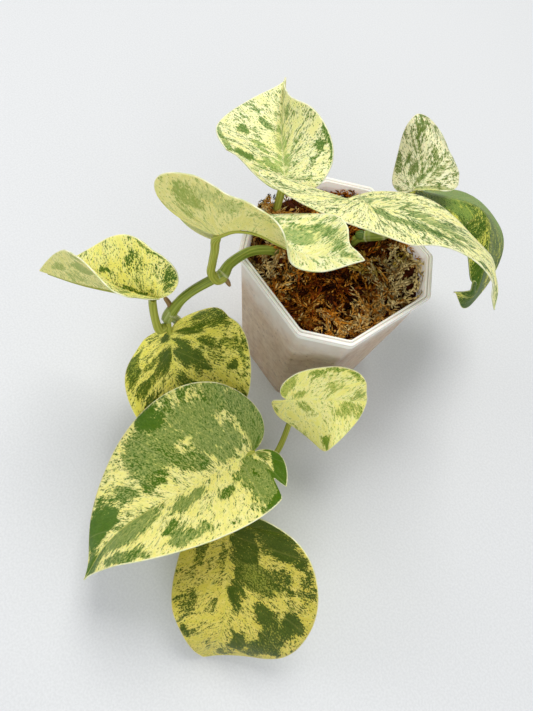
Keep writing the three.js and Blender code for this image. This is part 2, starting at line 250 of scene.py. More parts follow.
leafForm = {
    "columns": 26, "rows": 130, "thickness": 0.5,
    # outline: share of the margin round the lobe, and how far the curves' handles reach
    "lobeShare": 0.42, "lobeRise": 0.1, "tipReach": 0.16,
    # a hump in the midrib: where it is highest and where it ends, as shares of the length
    "archPeak": 0.2, "archEnd": 0.6,
    # veins: share of the margin that they fan out to from the petiole, how they crowd after it, and how many
    "fanShare": 0.30, "veinSpread": 1.15, "veins": 11,
    # relief: veins and the part of the blade that has them, a channel along the midrib, a wavy margin
    "veinRelief": 0.2, "veinsOut": (0.02, 0.2, 0.72, 0.98), "veinFade": 9, "ribWidth": 1.0, "ribDepth": 0.32,
    "wave": 0.96, "waveGrain": (7, 5.3), "waveFrom": 0.45,
    # marks: how far they wander along and out, how finely, and where their soft edge starts and ends
    "markWander": (0.022, 0.1), "wanderGrain": (16, 3.2), "markEdge": (0.6, 1.3),
    "sheen": 0.16, "bumpDepth": 0.0003,
}
# sizes of the grain along the margin and out along the veins, in millimetres
leafGrain = {"streak": (1.1, 2.6), "fleck": (0.6, 0.95), "cloud": (5, 9), "skin": (0.35, 0.6)}
backTones = {"ground": ("ebe6a2", "d9d77e"), "green": "9bab54", "milky": "bcc57c", "deep": "8b9e46"}

# facing: ways that the face looks, at the base and the tip. lobe, lobeBend: how far a lobe reaches back and
# the degrees that it turns up. foldBase, foldTip, foldStops: degrees that a half stands up from flat.
# shoulder, tipWidth: how long the width is held, and the width kept near the tip. arch: height of a hump.
# pinches: (half, along, reach, share of width kept). speckle, milk: greenness and milkiness off the marks.
# marks, in percent: (along, out, reach along, reach out, greenness, milkiness), later ones over earlier ones.
leaves = {
    "upper": dict(
        midrib=[(-35, -9, 115), (-59, 6, 117), (-77.2, 19.2, 126.1)],
        facing=[(0.2, -0.45, 0.9), (-0.1, -0.65, 0.75)],
        halfWidth=(33, 25), lobe=(14, 6), lobeBend=(35, -30),
        foldBase=(50, 20), foldTip=(30, 70), widestAt=(0.18, 0.18), tipWidth=0, shoulder=0.64,
        ground=("fdf9d6", "f0eca0"), green="587a2a", milky="96b05c", deep="3c631a",
        speckle=0.4, milk=0.15,
        marks=([(40, 22, 3, 12, 100, 75), (37, 42, 1.6, 12, 95, 70), (38.5, 68, 2, 14, 95, 30),
                (41, 95, 6, 6, 90, 50), (47, 36, 1.6, 12, 85, 70), (51, 38, 1.8, 12, 80, 60),
                (55, 68, 3.5, 10, 95, 20), (66, 38, 2, 20, 65, 30), (20, 60, 14, 35, 50, 60),
                (55, 6, 25, 8, 66, 90)],
               [(40, 78, 2.5, 10, 80, 10), (40, 97, 9, 4, 85, 20), (55, 6, 25, 9, 66, 90),
                (70, 50, 5, 15, 62, 30), (27, 55, 2, 30, 60, 30)])),
    "long": dict(
        midrib=[(-9, 4, 123), (18, 26, 123), (46, 36, 122), (62, 35, 108)],
        facing=[(-0.4, 0, 0.9), (0.75, 0.6, 0.2)],
        halfWidth=(20, 18), lobe=(-6, 38), lobeBend=(0, 15),
        foldBase=(-13, 0), foldTip=(11, -5), widestAt=(0.34, 0.34), tipWidth=0.13, shoulder=0.44,
        foldStops={0: ((0, -13), (0.84, 7), (0.92, 24), (1, 28)),
                   1: ((0, 0), (0.84, -4), (0.92, -24), (1, -28))},
        pinches=[(1, 0.58, 0.2, 0.8)],
        ground=("faf6cc", "e8e594"), green="42661e", milky="759049", deep="2b4e16",
        speckle=0.41, milk=0.3,
        marks=([(62, 20, 12, 20, 78, 75), (33, 50, 1, 40, 75, 40), (72, 55, 10, 35, 55, 50),
                (40, 30, 10, 30, 55, 70), (94, 50, 6, 70, 50, 60)],
               [(56, 35, 13, 17, 90, 65), (62, 34, 5, 8, 100, 40), (43, 20, 4, 18, 80, 70),
                (76, 80, 5, 14, 85, 10), (72, 20, 8, 20, 65, 50), (25, 15, 12, 12, 60, 60),
                (94, 50, 6, 70, 50, 60)])),
    "arched": dict(
        midrib=[(-15, -59, 134), (7, -36, 133), (27, -25, 146)], arch=7,
        facing=[(-0.1, 0.8, 0.6), (-0.3, -0.7, 0.65)],
        halfWidth=(33, 24), lobe=(16, 27), lobeBend=(45, 22),
        foldBase=(-13, 55), foldTip=(1, 23), widestAt=(0.1, 0.1), tipWidth=0.18, shoulder=0.6,
        pinches=[(1, 0.46, 0.12, 0.64), (0, 0.88, 0.09, 0.8)],
        ground=("f9f5ce", "e3e290"), green="618434", milky="8aa45a", deep="486c24",
        speckle=0.36, milk=0.4,
        marks=([(65, 40, 9, 20, 95, 85), (70, 68, 11, 12, 90, 60), (62, 90, 6, 5, 50, 50),
                (82, 55, 7, 30, 62, 50), (52, 50, 5, 30, 50, 40), (25, 50, 16, 50, 60, 30),
                (93, 30, 5, 30, 70, 50)],
               [(30, 68, 5, 22, 80, 20), (22, 45, 5, 15, 60, 30), (39, 72, 5, 18, 75, 70),
                (50, 80, 4, 20, 55, 30), (97, 50, 3, 60, 60, 10)])),
    "left": dict(
        midrib=[(-23, -81, 94), (-48, -101.8, 86.6), (-71, -115, 78)],
        facing=[(-0.3, -0.1, 0.95), (-0.45, 0.15, 0.9)],
        halfWidth=(30, 25), lobe=(4, 7), lobeBend=(15, -15),
        foldBase=(55, 70), foldTip=(90, 20), widestAt=(0.2, 0.2), tipWidth=0.29, shoulder=0.29,
        foldStops={0: ((0, 50), (0.1, 52), (0.2, 58), (0.35, 68), (0.6, 80), (1, 90))},
        ground=("fff9b4", "f3ec7c"), green="4e7022", milky="96ae4e", deep="2c4d16",
        speckle=0.34, milk=0.05,
        marks=([(63, 62, 7, 12, 85, 20), (82, 60, 6, 10, 75, 30), (60, 93, 5, 5, 80, 20),
                (72, 30, 5, 20, 60, 30), (40, 60, 5, 30, 50, 30), (20, 60, 10, 30, 50, 30)],
               [(44, 7, 9, 5, 95, 40), (45, 48, 3, 10, 64, 0), (60, 40, 3.5, 6, 100, 30),
                (22, 72, 7.5, 24, 66, 10), (18, 55, 5, 14, 70, 10), (36, 96, 9, 4, 90, 60),
                (42, 60, 6, 16, 52, 0), (85, 80, 10, 20, 50, 30)])),
    "middle": dict(
        midrib=[(-24, -76, 55), (4, -89, 48), (25, -96, 21)],
        facing=[(0.35, -0.55, 0.8), (0.5, -0.1, 0.85)],
        halfWidth=(39, 25), lobe=(6, 2), lobeBend=(-50, -10),
        foldBase=(10, -20), foldTip=(10, 40), widestAt=(0.23, 0.23), tipWidth=0.33, shoulder=0.54,
        ground=("f3eb82", "dad355"), green="486008", milky="7c8c24", deep="284004",
        speckle=0.34, milk=0.05, veinSpread=1.9,
        marks=([(28, 68, 7.5, 32, 86, 30), (35, 30, 3.5, 22, 86, 10), (52, 16, 10, 12, 86, 0),
                (55, 36, 6, 14, 82, 0), (44, 50, 3.5, 12, 85, 30), (50, 60, 4, 8, 55, 30),
                (42, 78, 3, 12, 75, 60), (50, 78, 2, 6, 90, 0), (45, 93, 6, 5, 70, 40),
                (62, 90, 6, 8, 75, 30), (70, 40, 6, 40, 80, 10)],
               [(36, 12, 9, 10, 82, 0), (55, 20, 7, 20, 82, 0), (57, 55, 3, 35, 75, 10),
                (43, 85, 9, 12, 100, 50), (49, 50, 2, 15, 75, 20), (30, 50, 4, 20, 50, 20),
                (66, 75, 5, 25, 75, 0), (75, 40, 5, 30, 80, 10)])),
    "largest": dict(
        midrib=[(48, -75, 52), (43, -139, 42), (51, -166, 30)],
        facing=[(0.1, 0.2, 1), (-0.45, -0.2, 0.85)],
        halfWidth=(36, 43), lobe=(11, 13), lobeBend=(10, 15),
        foldBase=(40, 30), foldTip=(25, -20), widestAt=(0.22, 0.22), tipWidth=0.12, shoulder=0.66,
        pinches=[(0, 0.297, 0.022, 0.66)],
        ground=("f4eca6", "e6df7c"), green="4b6c08", milky="647f36", deep="2c5402",
        speckle=0.34, milk=0.25,
        marks=([(20, 80, 14, 26, 100, 0), (16, 30, 10, 20, 80, 40), (34, 50, 5, 50, 100, 95),
                (33, 95, 3.5, 10, 100, 0), (34.5, 40, 0.8, 9, 100, 30), (44, 42, 2.5, 12, 95, 50),
                (40, 25, 2, 12, 80, 50), (52, 80, 6, 14, 80, 80), (57, 62, 2.5, 10, 95, 30),
                (55, 25, 6, 14, 85, 85), (77, 30, 12, 35, 100, 90), (72, 85, 8, 12, 90, 60),
                (64, 93, 5, 5, 80, 50), (93, 50, 8, 60, 95, 30)],
               [(17, 50, 15, 62, 100, 75), (24, 78, 8, 14, 100, 80), (36, 86, 7, 22, 94, 80),
                (47, 62, 5, 16, 90, 85), (20, 60, 2, 7, 90, 10), (10, 35, 4, 18, 100, 20),
                (38, 84, 2.5, 10, 90, 10), (36, 30, 3, 22, 85, 80), (41, 50, 5, 44, 85, 85),
                (40, 90, 5, 12, 60, 40), (48.5, 86, 3.5, 11, 100, 0), (56, 60, 7, 32, 97, 75),
                (50, 26, 5, 14, 75, 50), (62, 30, 5, 14, 75, 30), (68, 55, 3, 20, 70, 50),
                (65.5, 80, 2, 24, 35, 40), (80, 70, 9, 42, 100, 0), (78, 14, 10, 14, 40, 20),
                (95, 50, 6, 60, 100, 0)])),
    "small": dict(
        midrib=[(38, -48, 60), (52, -28, 62), (58, -13, 53)],
        facing=[(0.7, -0.6, 0.4), (0.6, -0.25, 0.75)],
        halfWidth=(20, 32), lobe=(4, 11), lobeBend=(10, -40),
        foldBase=(0, -20), foldTip=(5, 20), widestAt=(0.39, 0.39), tipWidth=0.26, shoulder=0.42,
        ground=("fff9b4", "f4ed82"), green="7c982e", milky="acb84e", deep="587a1e",
        speckle=0.34, milk=0.5,
        marks=([(20, 72, 12, 34, 95, 80), (40, 85, 3, 12, 80, 40), (56, 93, 16, 7, 90, 50),
                (37, 20, 5, 15, 70, 50), (62, 50, 10, 10, 60, 80), (85, 50, 8, 50, 60, 50)],
               [(54, 80, 4, 11, 95, 0), (22, 76, 5, 10, 65, 30), (76, 30, 12, 25, 65, 60),
                (42, 10, 6, 10, 60, 40), (88, 60, 8, 40, 60, 50)])),
    "lowest": dict(
        midrib=[(68, -100, 45), (102, -125, 28), (110, -140, 1)],
        facing=[(0.15, -0.65, 0.75), (0.6, -0.35, 0.75)],
        halfWidth=(42, 27), lobe=(7, 14), lobeBend=(25, 0),
        foldBase=(15, -20), foldTip=(-5, 10), widestAt=(0.29, 0.29), tipWidth=0.2, shoulder=0.6,
        ground=("dfd06e", "c6bb48"), green="425406", milky="6a7826", deep="2a3c04",
        speckle=0.33, milk=0.05,
        marks=([(22, 60, 13, 50, 86, 5), (38, 20, 9, 20, 86, 0), (36, 70, 4, 25, 92, 0),
                (48, 34, 5, 24, 100, 60), (44, 88, 4, 10, 60, 0), (45, 62, 3, 10, 70, 0),
                (55, 82, 4, 12, 90, 0), (66, 72, 9, 18, 100, 45), (58, 50, 4, 12, 85, 0),
                (57, 14, 8, 10, 80, 0), (75, 42, 5, 18, 90, 5), (84, 60, 5, 30, 60, 20)],
               [(45, 8, 8, 6, 65, 20), (56, 75, 5, 20, 60, 10), (20, 60, 5, 20, 90, 40),
                (68, 90, 4, 10, 80, 10), (40, 55, 5, 10, 70, 30)])),
    "upright": dict(
        midrib=[(-4, 42, 112), (-6, 61, 122), (-11, 73, 112)],
        facing=[(-0.5, -0.05, 0.85), (0.1, 0.3, 0.95)],
        halfWidth=(24, 14), lobe=(2, -7.5), lobeBend=(-5, 0),
        foldBase=(0, -35), foldTip=(30, -35), widestAt=(0.64, 0.46), tipWidth=0.13, shoulder=0.47,
        pinches=[(1, 0.56, 0.25, 0.76)],
        ground=("f6f1d2", "e2e0ac"), green="617830", milky="a4ac68", deep="4a6226",
        speckle=0.45, milk=0.2,
        marks=([(31, 85, 3, 18, 80, 20), (44, 86, 1.2, 12, 100, 10), (50, 86, 1.2, 12, 95, 10),
                (47, 70, 4, 4, 95, 10), (38, 35, 3, 10, 80, 20), (36, 65, 2, 6, 90, 10),
                (45, 5, 20, 5, 85, 30), (60, 25, 3, 10, 70, 30), (82, 70, 6, 40, 80, 60),
                (45, 45, 2, 25, 75, 40)],
               [(33, 50, 5, 50, 85, 80), (55, 25, 15, 15, 65, 40)])),
    "drooping": dict(
        midrib=[(-7, 54, 102), (22, 71, 105), (48, 50, 90), (45, 29, 103)],
        facing=[(-0.25, 0.55, 0.8), (0.9, -0.2, 0.35)],
        halfWidth=(54, 18), lobe=(10, 6), lobeBend=(0, 0),
        foldBase=(-6, -6), foldTip=(-43, -2), widestAt=(0.29, 0.29), tipWidth=0.02, shoulder=0.29,
        pinches=[(0, 0.85, 0.2, 0.6), (1, 0.42, 0.3, 1.4), (1, 0.81, 0.035, 1.7)],
        ground=("e4df76", "c0c04e"), green="456018", milky="60823a", deep="28430a",
        speckle=0.7, milk=0.25, sheen=0.03,
        marks=([(42, 50, 16, 80, 100, 90), (60, 50, 5, 60, 68, 20), (70, 50, 1.2, 80, 40, 20),
                (80, 50, 8, 80, 85, 0), (96, 50, 5, 80, 30, 10)],
               [(42, 30, 10, 40, 90, 80), (62, 50, 6, 80, 60, 20), (80, 50, 10, 80, 85, 5),
                (97, 50, 5, 80, 30, 10)])),
}

for leaf in leaves.values():
    leaf["rib"] = routeTable(leaf["midrib"])
    leaf["up"] = [Vector(facing).normalized() for facing in leaf["facing"]]
    leaf["marks"] = [[[number / 100 for number in mark] for mark in half] for half in leaf["marks"]]


def bezier(corners, t):
    a, b, c, d = corners
    s = 1 - t
    return tuple(a[k] * s ** 3 + 3 * b[k] * s * s * t + 3 * c[k] * s * t * t + d[k] * t ** 3 for k in (0, 1))


def leafOutline(leaf, half, share):
    # flat outline of one half: along the midrib, and out from it
    length, width = leaf["rib"]["length"], leaf["halfWidth"][half]
    widest = leaf["widestAt"][half] * length
    rest = length - widest
    lobeShare = leafForm["lobeShare"]
    if share < lobeShare:
        # a curve's middle is 3/4 of its handles' place and 1/8 of its end's, so the handles overshoot
        back = -(leaf["lobe"][half] + widest / 8) / 0.75
        corners = ((0, 0), (back, leafForm["lobeRise"] * width), (back, width), (widest, width))
        return bezier(corners, share / lobeShare)
    corners = ((widest, width), (widest + leaf["shoulder"] * rest, width),
               (length - leafForm["tipReach"] * rest, leaf["tipWidth"] * width), (length, 0))
    return bezier(corners, (share - lobeShare) / (1 - lobeShare))


def foldAngle(leaf, half, part):
    # degrees that a half stands up from flat, which may follow stops of (part of the length, angle)
    stops = leaf.get("foldStops", {}).get(half)
    if not stops:
        return blendValue(leaf["foldBase"][half], leaf["foldTip"][half], part)
    for (before, low), (after, high) in zip(stops, stops[1:]):
        if part <= after:
            return blendValue(low, high, (part - before) / (after - before))
    return stops[-1][1]


def midribSpot(leaf, along):
    # place, the way that the face looks, direction, and part of the length
    part = clamp(along / leaf["rib"]["length"])
    place, forward = onRoute(leaf["rib"], along)
    peak = leafForm["archPeak"]
    hump = smoothStep(0, peak, part) * (1 - smoothStep(peak, leafForm["archEnd"], part))
    up = squareTo(forward, leaf["up"][0].lerp(leaf["up"][1], part))
    return place + Vector((0, 0, leaf.get("arch", 0) * hump)), up, forward, part


def leafSpot(leaf, half, share, out):
    # place and facing of a spot on a blade, with its distance from the midrib and its vein's length
    for pinchHalf, middle, reach, kept in leaf.get("pinches", ()):
        if pinchHalf == half:
            out *= blendValue(kept, 1, smoothStep(0, 1, abs(share - middle) / reach))
    edge = leafOutline(leaf, half, share)
    fan = leafForm["fanShare"]
    crowding = leaf.get("veinSpread", leafForm["veinSpread"])
    start = leaf["rib"]["length"] * clamp((share - fan) / (1 - fan)) ** crowding
    along = start + (edge[0] - start) * out
    across = edge[1] * out
    place, up, forward, part = midribSpot(leaf, along)
    sideways = forward.cross(up) * (1 if half else -1)
    if along < 0:
        bend = math.radians(leaf["lobeBend"][half]) / leaf["lobe"][half] or 1e-6
        turn = -bend * along
        place = place - forward * (math.sin(turn) / bend) + up * ((1 - math.cos(turn)) / bend)
        up = up * math.cos(turn) + forward * math.sin(turn)
    fold = math.radians(foldAngle(leaf, half, part))
    place = place + sideways * (across * math.cos(fold)) + up * (across * math.sin(fold))
    facing = up * math.cos(fold) - sideways * math.sin(fold)
    return {"place": place, "facing": facing, "across": across, "vein": math.hypot(edge[0] - start, edge[1])}


def marginRun(leaf, half, steps=120):
    # running length of the flat margin, for patterns that follow the veins
    return runningLength([Vector(leafOutline(leaf, half, step / steps)) for step in range(steps + 1)])


def atShare(run, share):
    k, rest = pointBefore(clamp(share) * (len(run) - 1), run)
    return blendValue(run[k], run[k + 1], rest)


def wander(spot):
    return noise.noise(spot) + 0.6 * noise.noise(spot * 2.7)


def markValues(leaf, half, share, out, seed):
    # greenness and milkiness of a spot, where each mark's edge wanders a little
    green, milk = leaf["speckle"], leaf["milk"]
    wanderAlong, wanderOut = leafForm["markWander"]
    spot = Vector((share * leafForm["wanderGrain"][0] + seed, out * leafForm["wanderGrain"][1], 4 * half))
    share += wanderAlong * wander(spot)
    out += wanderOut * wander(spot + Vector((0, 0, 11)))
    for along, outward, reachAlong, reachOut, markGreen, markMilk in leaf["marks"][half]:
        far = math.hypot((share - along) / reachAlong, (out - outward) / reachOut)
        weight = 1 - smoothStep(*leafForm["markEdge"], far)
        green = blendValue(green, markGreen, weight)
        milk = blendValue(milk, markMilk, weight)
    return green, milk


def leafRelief(spot, share, out, half, seed):
    # veins sunk into the face, a channel along the midrib and a slightly wavy margin
    form = leafForm
    ridge = abs(math.sin(math.pi * (share * form["veins"] + 0.35 * half))) ** 0.7
    start, full, fading, end = form["veinsOut"]
    window = smoothStep(start, full, out) * (1 - smoothStep(fading, end, out))
    lift = form["veinRelief"] * (ridge - 0.6) * window * clamp(spot["vein"] * out / form["veinFade"])
    lift -= form["ribDepth"] * math.exp(-(spot["across"] / form["ribWidth"]) ** 2)
    grainAlong, grainHalf = form["waveGrain"]
    ripple = noise.noise(Vector((share * grainAlong + seed, half * grainHalf, 0.7)))
    ripple *= smoothStep(form["waveFrom"], 1, out) * math.sqrt(math.sin(math.pi * share))
    return lift + form["wave"] * ripple


def leafBlade(name, leaf, materials, seed):
    columns, rows = leafForm["columns"], leafForm["rows"]
    runs = [marginRun(leaf, half) for half in (0, 1)]
    spots = [[[leafSpot(leaf, half, row / rows, column / columns) for column in range(columns + 1)]
              for row in range(rows + 1)] for half in (0, 1)]
    bm = bmesh.new()
    marks = bm.verts.layers.float_color.new("marks")
    layout = bm.verts.layers.float_color.new("layout")
    veinMap = bm.loops.layers.uv.new("veinMap")
    places = {vert: (row, abs(column - columns)) for vert, column, row in gridSpots(bm, 2 * columns, rows)}
    for face in bm.faces:
        half = 1 if face.calc_center_median().x > 0 else 0
        for loop in face.loops:
            row, column = places[loop.vert]
            reach = spots[half][row][column]["vein"] * column / columns
            # in tenths of a metre, with the two halves far apart
            loop[veinMap].uv = (atShare(runs[half], row / rows) / 100 + 3 * half, reach / 100)
    for vert, (row, column) in places.items():
        half = 1 if vert.co.x > 0 else 0
        share, out = row / rows, column / columns
        spot = spots[half][row][column]
        facing = spot["facing"]
        if spot["across"] < 1e-6:
            facing = (facing + spots[1 - half][row][column]["facing"]).normalized()
        vert[marks] = (*markValues(leaf, half, share, out, seed), 0, 1)
        vert[layout] = (share, out, min(spot["vein"] * (1 - out), 40) / 10, spot["across"] / 10)
        vert.co = (spot["place"] + facing * leafRelief(spot, share, out, half, seed)) * mm
    bmesh.ops.remove_doubles(bm, verts=bm.verts, dist=2e-6)
    blade = newPiece("blade_" + name, bm, materials, ["leaf_" + name])
    setAll(blade.modifiers.new("thickness", "SOLIDIFY"), thickness=leafForm["thickness"] * mm, offset=0,
           material_offset=1, material_offset_rim=2)


def leafPattern():
    # node group: cream ground, green marks along the veins, pale veins and margin
    group = bpy.data.node_groups.new("leafPattern", "ShaderNodeTree")
    sockets = [(name, "INPUT", "Color") for name in ("groundPale", "groundDeep", "green", "milky", "deep")]
    sockets += [("seed", "INPUT", "Float"), ("colour", "OUTPUT", "Color"), ("height", "OUTPUT", "Float"),
                ("roughness", "OUTPUT", "Float")]
    for name, way, kind in sockets:
        group.interface.new_socket(name, in_out=way, socket_type="NodeSocket" + kind)
    bench = NodeBench(group)
    given = bench.add("NodeGroupInput").outputs
    pale, deepGround, green, milky, deep, seed = given[:6]
    vector = bench.add("ShaderNodeVectorMath", {"operation": "ADD"})
    bench.feed(vector.inputs[0], bench.add("ShaderNodeUVMap", {"uv_map": "veinMap"}).outputs[0])
    bench.feed(vector.inputs[1], bench.add("ShaderNodeCombineXYZ", Z=seed).outputs[0])

    def veinGrain(name, **settings):
        # the vein map is in tenths of a metre, so 100 divided by a size in millimetres gives its scale
        along, out = leafGrain[name]
        return bench.grain(vector.outputs[0], (100 / along, 100 / out, 1), **settings)

    greenness, milkiness = bench.attribute("marks")[:2]
    layout = bench.attribute("layout")
    marginShare, marginGap, ribGap = layout[0], layout[2], layout[3]
    streak = veinGrain("streak", detail=4, roughness=0.7, distortion=0.4)
    fleck = veinGrain("fleck", detail=2, roughness=0.6, place=(3, 1, 0))
    cloud = veinGrain("cloud", detail=4, roughness=0.7, place=(7, 5, 0), distortion=0.8)
    # a soft milky layer under a sharper dark one
    softGrain = bench.spread(bench.times(cloud, 0.6, bench.times(streak, 0.4)), 3.4)
    softness = bench.minus(greenness, softGrain)
    softCover = bench.ramp(softness, -0.03, 0.16)
    darkness = bench.times(greenness, bench.times(milkiness, -0.8, 1.0))
    darkGrain = bench.times(fleck, 0.5, bench.times(streak, 0.28))
    darkGrain = bench.spread(bench.times(cloud, 0.22, darkGrain), 3.6)
    darkCover = bench.ramp(bench.minus(darkness, darkGrain), -0.04, 0.05)
    ground = bench.mix(bench.ramp(cloud, 0.36, 0.66), pale, deepGround)
    ground = bench.mix(bench.ramp(streak, 0.36, 0.52, 0.35, 0.0), ground, deepGround)
    milkShare = bench.ramp(bench.spread(streak, 0.7, milkiness), 0.0, 0.9, 0.42, 1.0)
    softTone = bench.mix(milkShare, green, milky)
    softTone = bench.mix(bench.ramp(fleck, 0.5, 0.66, 0.0, 0.3), softTone, deepGround)
    darkTone = bench.mix(bench.ramp(cloud, 0.35, 0.65, 0.0, 0.3), green, milky)
    darkTone = bench.mix(bench.ramp(fleck, 0.42, 0.6, 0.45, 0.0), darkTone, deep)
    halo = bench.ramp(softness, -0.3, 0.05, 0.0, 0.42)
    ground = bench.mix(halo, ground, bench.mix(0.45, deepGround, milky))
    tone = bench.mix(bench.times(softCover, 0.9), ground, softTone)
    tone = bench.mix(darkCover, tone, darkTone)
    # faint side veins, the midrib, and a thin pale margin
    veinPhase = bench.maths("PINGPONG", bench.times(marginShare, leafForm["veins"]), 0.5)
    tone = bench.mix(bench.ramp(veinPhase, 0.0, 0.05, 0.07, 0.0), tone, pale)
    tone = bench.mix(bench.ramp(ribGap, 0.01, 0.06, 0.35, 0.0), tone, deepGround)
    marginLine = bench.ramp(bench.spread(streak, 0.12, marginGap), 0.012, 0.045, 0.8, 0.0)
    tone = bench.mix(marginLine, tone, bench.mix(0.4, pale, "f3f3d2"))
    height = bench.times(veinGrain("skin", detail=2), 0.3, bench.times(veinPhase, 1.4))
    height = bench.times(streak, 0.5, bench.times(cloud, 1.4, height))
    bench.give(bench.add("NodeGroupOutput"), colour=tone, height=height,
               roughness=bench.ramp(streak, 0.3, 0.7, 0.36, 0.5))
    return group


def leafMaterial(name, tones, sheen, group, seed, bumpStrength, roughness=None):
    material, bench, shader = newMaterial(name)
    pale, deepGround = tones["ground"]
    pattern = bench.add("ShaderNodeGroup", {"node_tree": group}, groundPale=pale, groundDeep=deepGround,
                        green=tones["green"], milky=tones["milky"], deep=tones["deep"], seed=seed).outputs
    bench.give(shader, Base_Color=pattern["colour"], Roughness=roughness or pattern["roughness"],
               Normal=bench.bump(pattern["height"], bumpStrength, leafForm["bumpDepth"]),
               Specular_IOR_Level=sheen, Subsurface_Weight=0.12, Subsurface_Scale=0.002)
    return material


pattern = leafPattern()
paleRim = grainMaterial("leafMargin", "f2f2cf", "cfd68f", 260, 0.35, 0.7, 0.5)
dullRim = grainMaterial("leafMarginDull", "9aa858", "74883c", 260, 0.35, 0.7, 0.5)
for number, (name, leaf) in enumerate(leaves.items()):
    sheen = leaf.get("sheen", leafForm["sheen"])
    face = leafMaterial("leafFace_" + name, leaf, sheen, pattern, number * 1.7, 0.35)
    back = leafMaterial("leafBack_" + name, backTones, sheen, pattern, number * 1.7, 0.4, roughness=0.55)
    leafBlade(name, leaf, [face, back, dullRim if name == "drooping" else paleRim], number * 2.3)
    print("leaf", name)


# Stems. Each point is (x, y, z, diameter). rings: numbers of the points that carry a leaf scar. ribs: how
# many fine ribs run along it, and their height as a share of the radius. A stem belongs to the vine unless it
# names another node, and looks like a petiole unless it names another look.

firstNode, secondNode, thirdNode = (-17, -52, 98), (-21, -76, 80), (50, -66, 3)
farFork, farNode, farEnd = (2, 25.5, 96.5), (3, 34, 98.6), (-4, 49, 98)

stems = {
    "vine_stem": dict(
        look="vine", rings=(5, 9), ribs=(9, 0.03),
        points=[(-17, -12.5, 78, 4.4), (-17.2, -18, 88, 4.4), (-18.6, -26.5, 95.6, 4.3),
                (-20.4, -36, 98.8, 4.3), (-19, -47, 99.8, 4.4), (*firstNode, 5.4), (-17.6, -56.5, 96.8, 4.3),
                (-19.4, -65, 92.6, 4.2), (-20.3, -71, 87.8, 4.3), (*secondNode, 5.3),
                (-21.3, -77.5, 77.5, 4.5)]),
    "vine_lower": dict(
        look="sheath", rings=(8,), ribs=(11, 0.06),
        points=[(-21.2, -75, 83, 4.5), (-21.4, -78, 77, 5), (-24, -76.5, 69, 4.8), (-30, -71, 56, 4.6),
                (-26, -67, 42, 4.7), (-8, -70, 28, 4.7), (10, -72, 15, 4.7), (30, -70, 5.5, 4.7),
                (*thirdNode, 5.4)]),
    "petiole_arched": dict(
        leaf="arched", ribScale=0.45,
        points=[(-15.2, -51.2, 98.5, 4.1), (-16.2, -55.2, 97, 4.4), (-18.1, -57.4, 102, 3.8),
                (-17.6, -57.4, 110, 3.5), (-16.2, -57.6, 121, 3.5), (-15.4, -58, 128.8, 3.7)]),
    "petiole_left": dict(
        leaf="left", ribScale=0.45,
        points=[(-20.5, -79, 71, 4.4), (-20.2, -83.2, 71.5, 4.4), (-22.6, -83.6, 79, 3.9),
                (-25.8, -82.4, 87.5, 3.8), (-24.8, -82.2, 92.6, 3.6)]),
    "petiole_middle": dict(
        leaf="middle",
        points=[(-26, -74, 69, 3.8), (-25.6, -76, 63, 3.4), (-24.2, -76.2, 55.2, 3)]),
    "petiole_largest": dict(
        leaf="largest",
        points=[(*thirdNode, 4.6), (55, -69, 24, 3.7), (54, -73, 40, 3.6), (48.5, -75, 51.2, 3.4)]),
    "petiole_small": dict(
        leaf="small",
        points=[(*thirdNode, 4), (49.6, -55.7, 13.2, 3.3), (42.7, -45.4, 28.8, 3.1), (39.4, -43.5, 39.3, 3),
                (37.4, -44.4, 50, 2.9), (37.2, -46.6, 57, 2.8)]),
    "petiole_lowest": dict(
        leaf="lowest",
        points=[(*thirdNode, 4.4), (62, -76, 16, 3.5), (69, -90, 32, 3.4), (68, -99.6, 44.2, 3.2)]),
    "root_first": dict(
        look="root",
        points=[(*firstNode, 2.6), (-13.6, -51.6, 96, 2.2), (-12, -51.2, 94.2, 1.2)]),
    "root_second": dict(
        look="root",
        points=[(-22, -75.5, 81.5, 2.6), (-23.2, -75.8, 85, 2.4), (-24.6, -76.8, 88.6, 2.0)]),
    "petiole_top": dict(
        node="petiole_upper", leaf="upper",
        points=[(-31.5, -15, 74, 4.2), (-31, -15, 88, 3.9), (-32.3, -13.2, 98, 3.6), (-33.5, -11.5, 107, 3.6),
                (-35.4, -9.2, 114.2, 3.3)]),
    "far_vine": dict(
        node="far_stem", look="vine", rings=(2, 3, 4), ribs=(8, 0.04),
        points=[(-8, 13, 74, 4.2), (-5.6, 17.2, 88.5, 4.2), (-3, 20.4, 92.8, 5.1), (*farFork, 4.8),
                (*farNode, 5), (1, 41, 99, 4.2), (*farEnd, 4.4)]),
    "cut_end": dict(
        node="far_stem", look="stub",
        points=[(-2.6, 20.4, 93, 4.6), (-4.8, 18.6, 92.8, 4.9), (-7, 17, 92.4, 4.2)]),
    "petiole_long": dict(
        node="far_stem", leaf="long",
        points=[(*farFork, 4), (-4, 19, 106, 3.5), (-9, 8.4, 116, 3.2), (-9.2, 5.2, 120.6, 2.8)]),
    "petiole_upright": dict(
        node="far_stem", leaf="upright",
        points=[(*farNode, 3.4), (-3, 31, 103, 2.9), (-6, 33, 106, 2.7), (-3.4, 40.6, 109.8, 2.4)]),
    "petiole_drooping": dict(
        node="far_stem", leaf="drooping",
        points=[(*farEnd, 3.6), (-6, 52.2, 99.3, 3.2), (-7, 53.8, 101.2, 3)]),
    "far_stub": dict(
        node="far_stem", look="stub",
        points=[(*farNode, 3), (6.5, 33, 99.5, 2.6), (8.5, 31.5, 101, 2.2)]),
}

stemForm = {
    # rows between two points, sides, and the ribs where a stem names none
    "rowsEach": 12, "sides": 18, "ribs": (6, 0.02),
    # a leaf scar: how far its ring stands out, its width, and a fainter ring's (distance, width, share)
    "ringRise": 0.22, "ringWidth": 0.45, "secondRing": (2.2, 0.35, 0.7),
    # depth and width of a petiole's channel, as a share of its radius and in radians
    "channel": (0.16, 0.45),
}
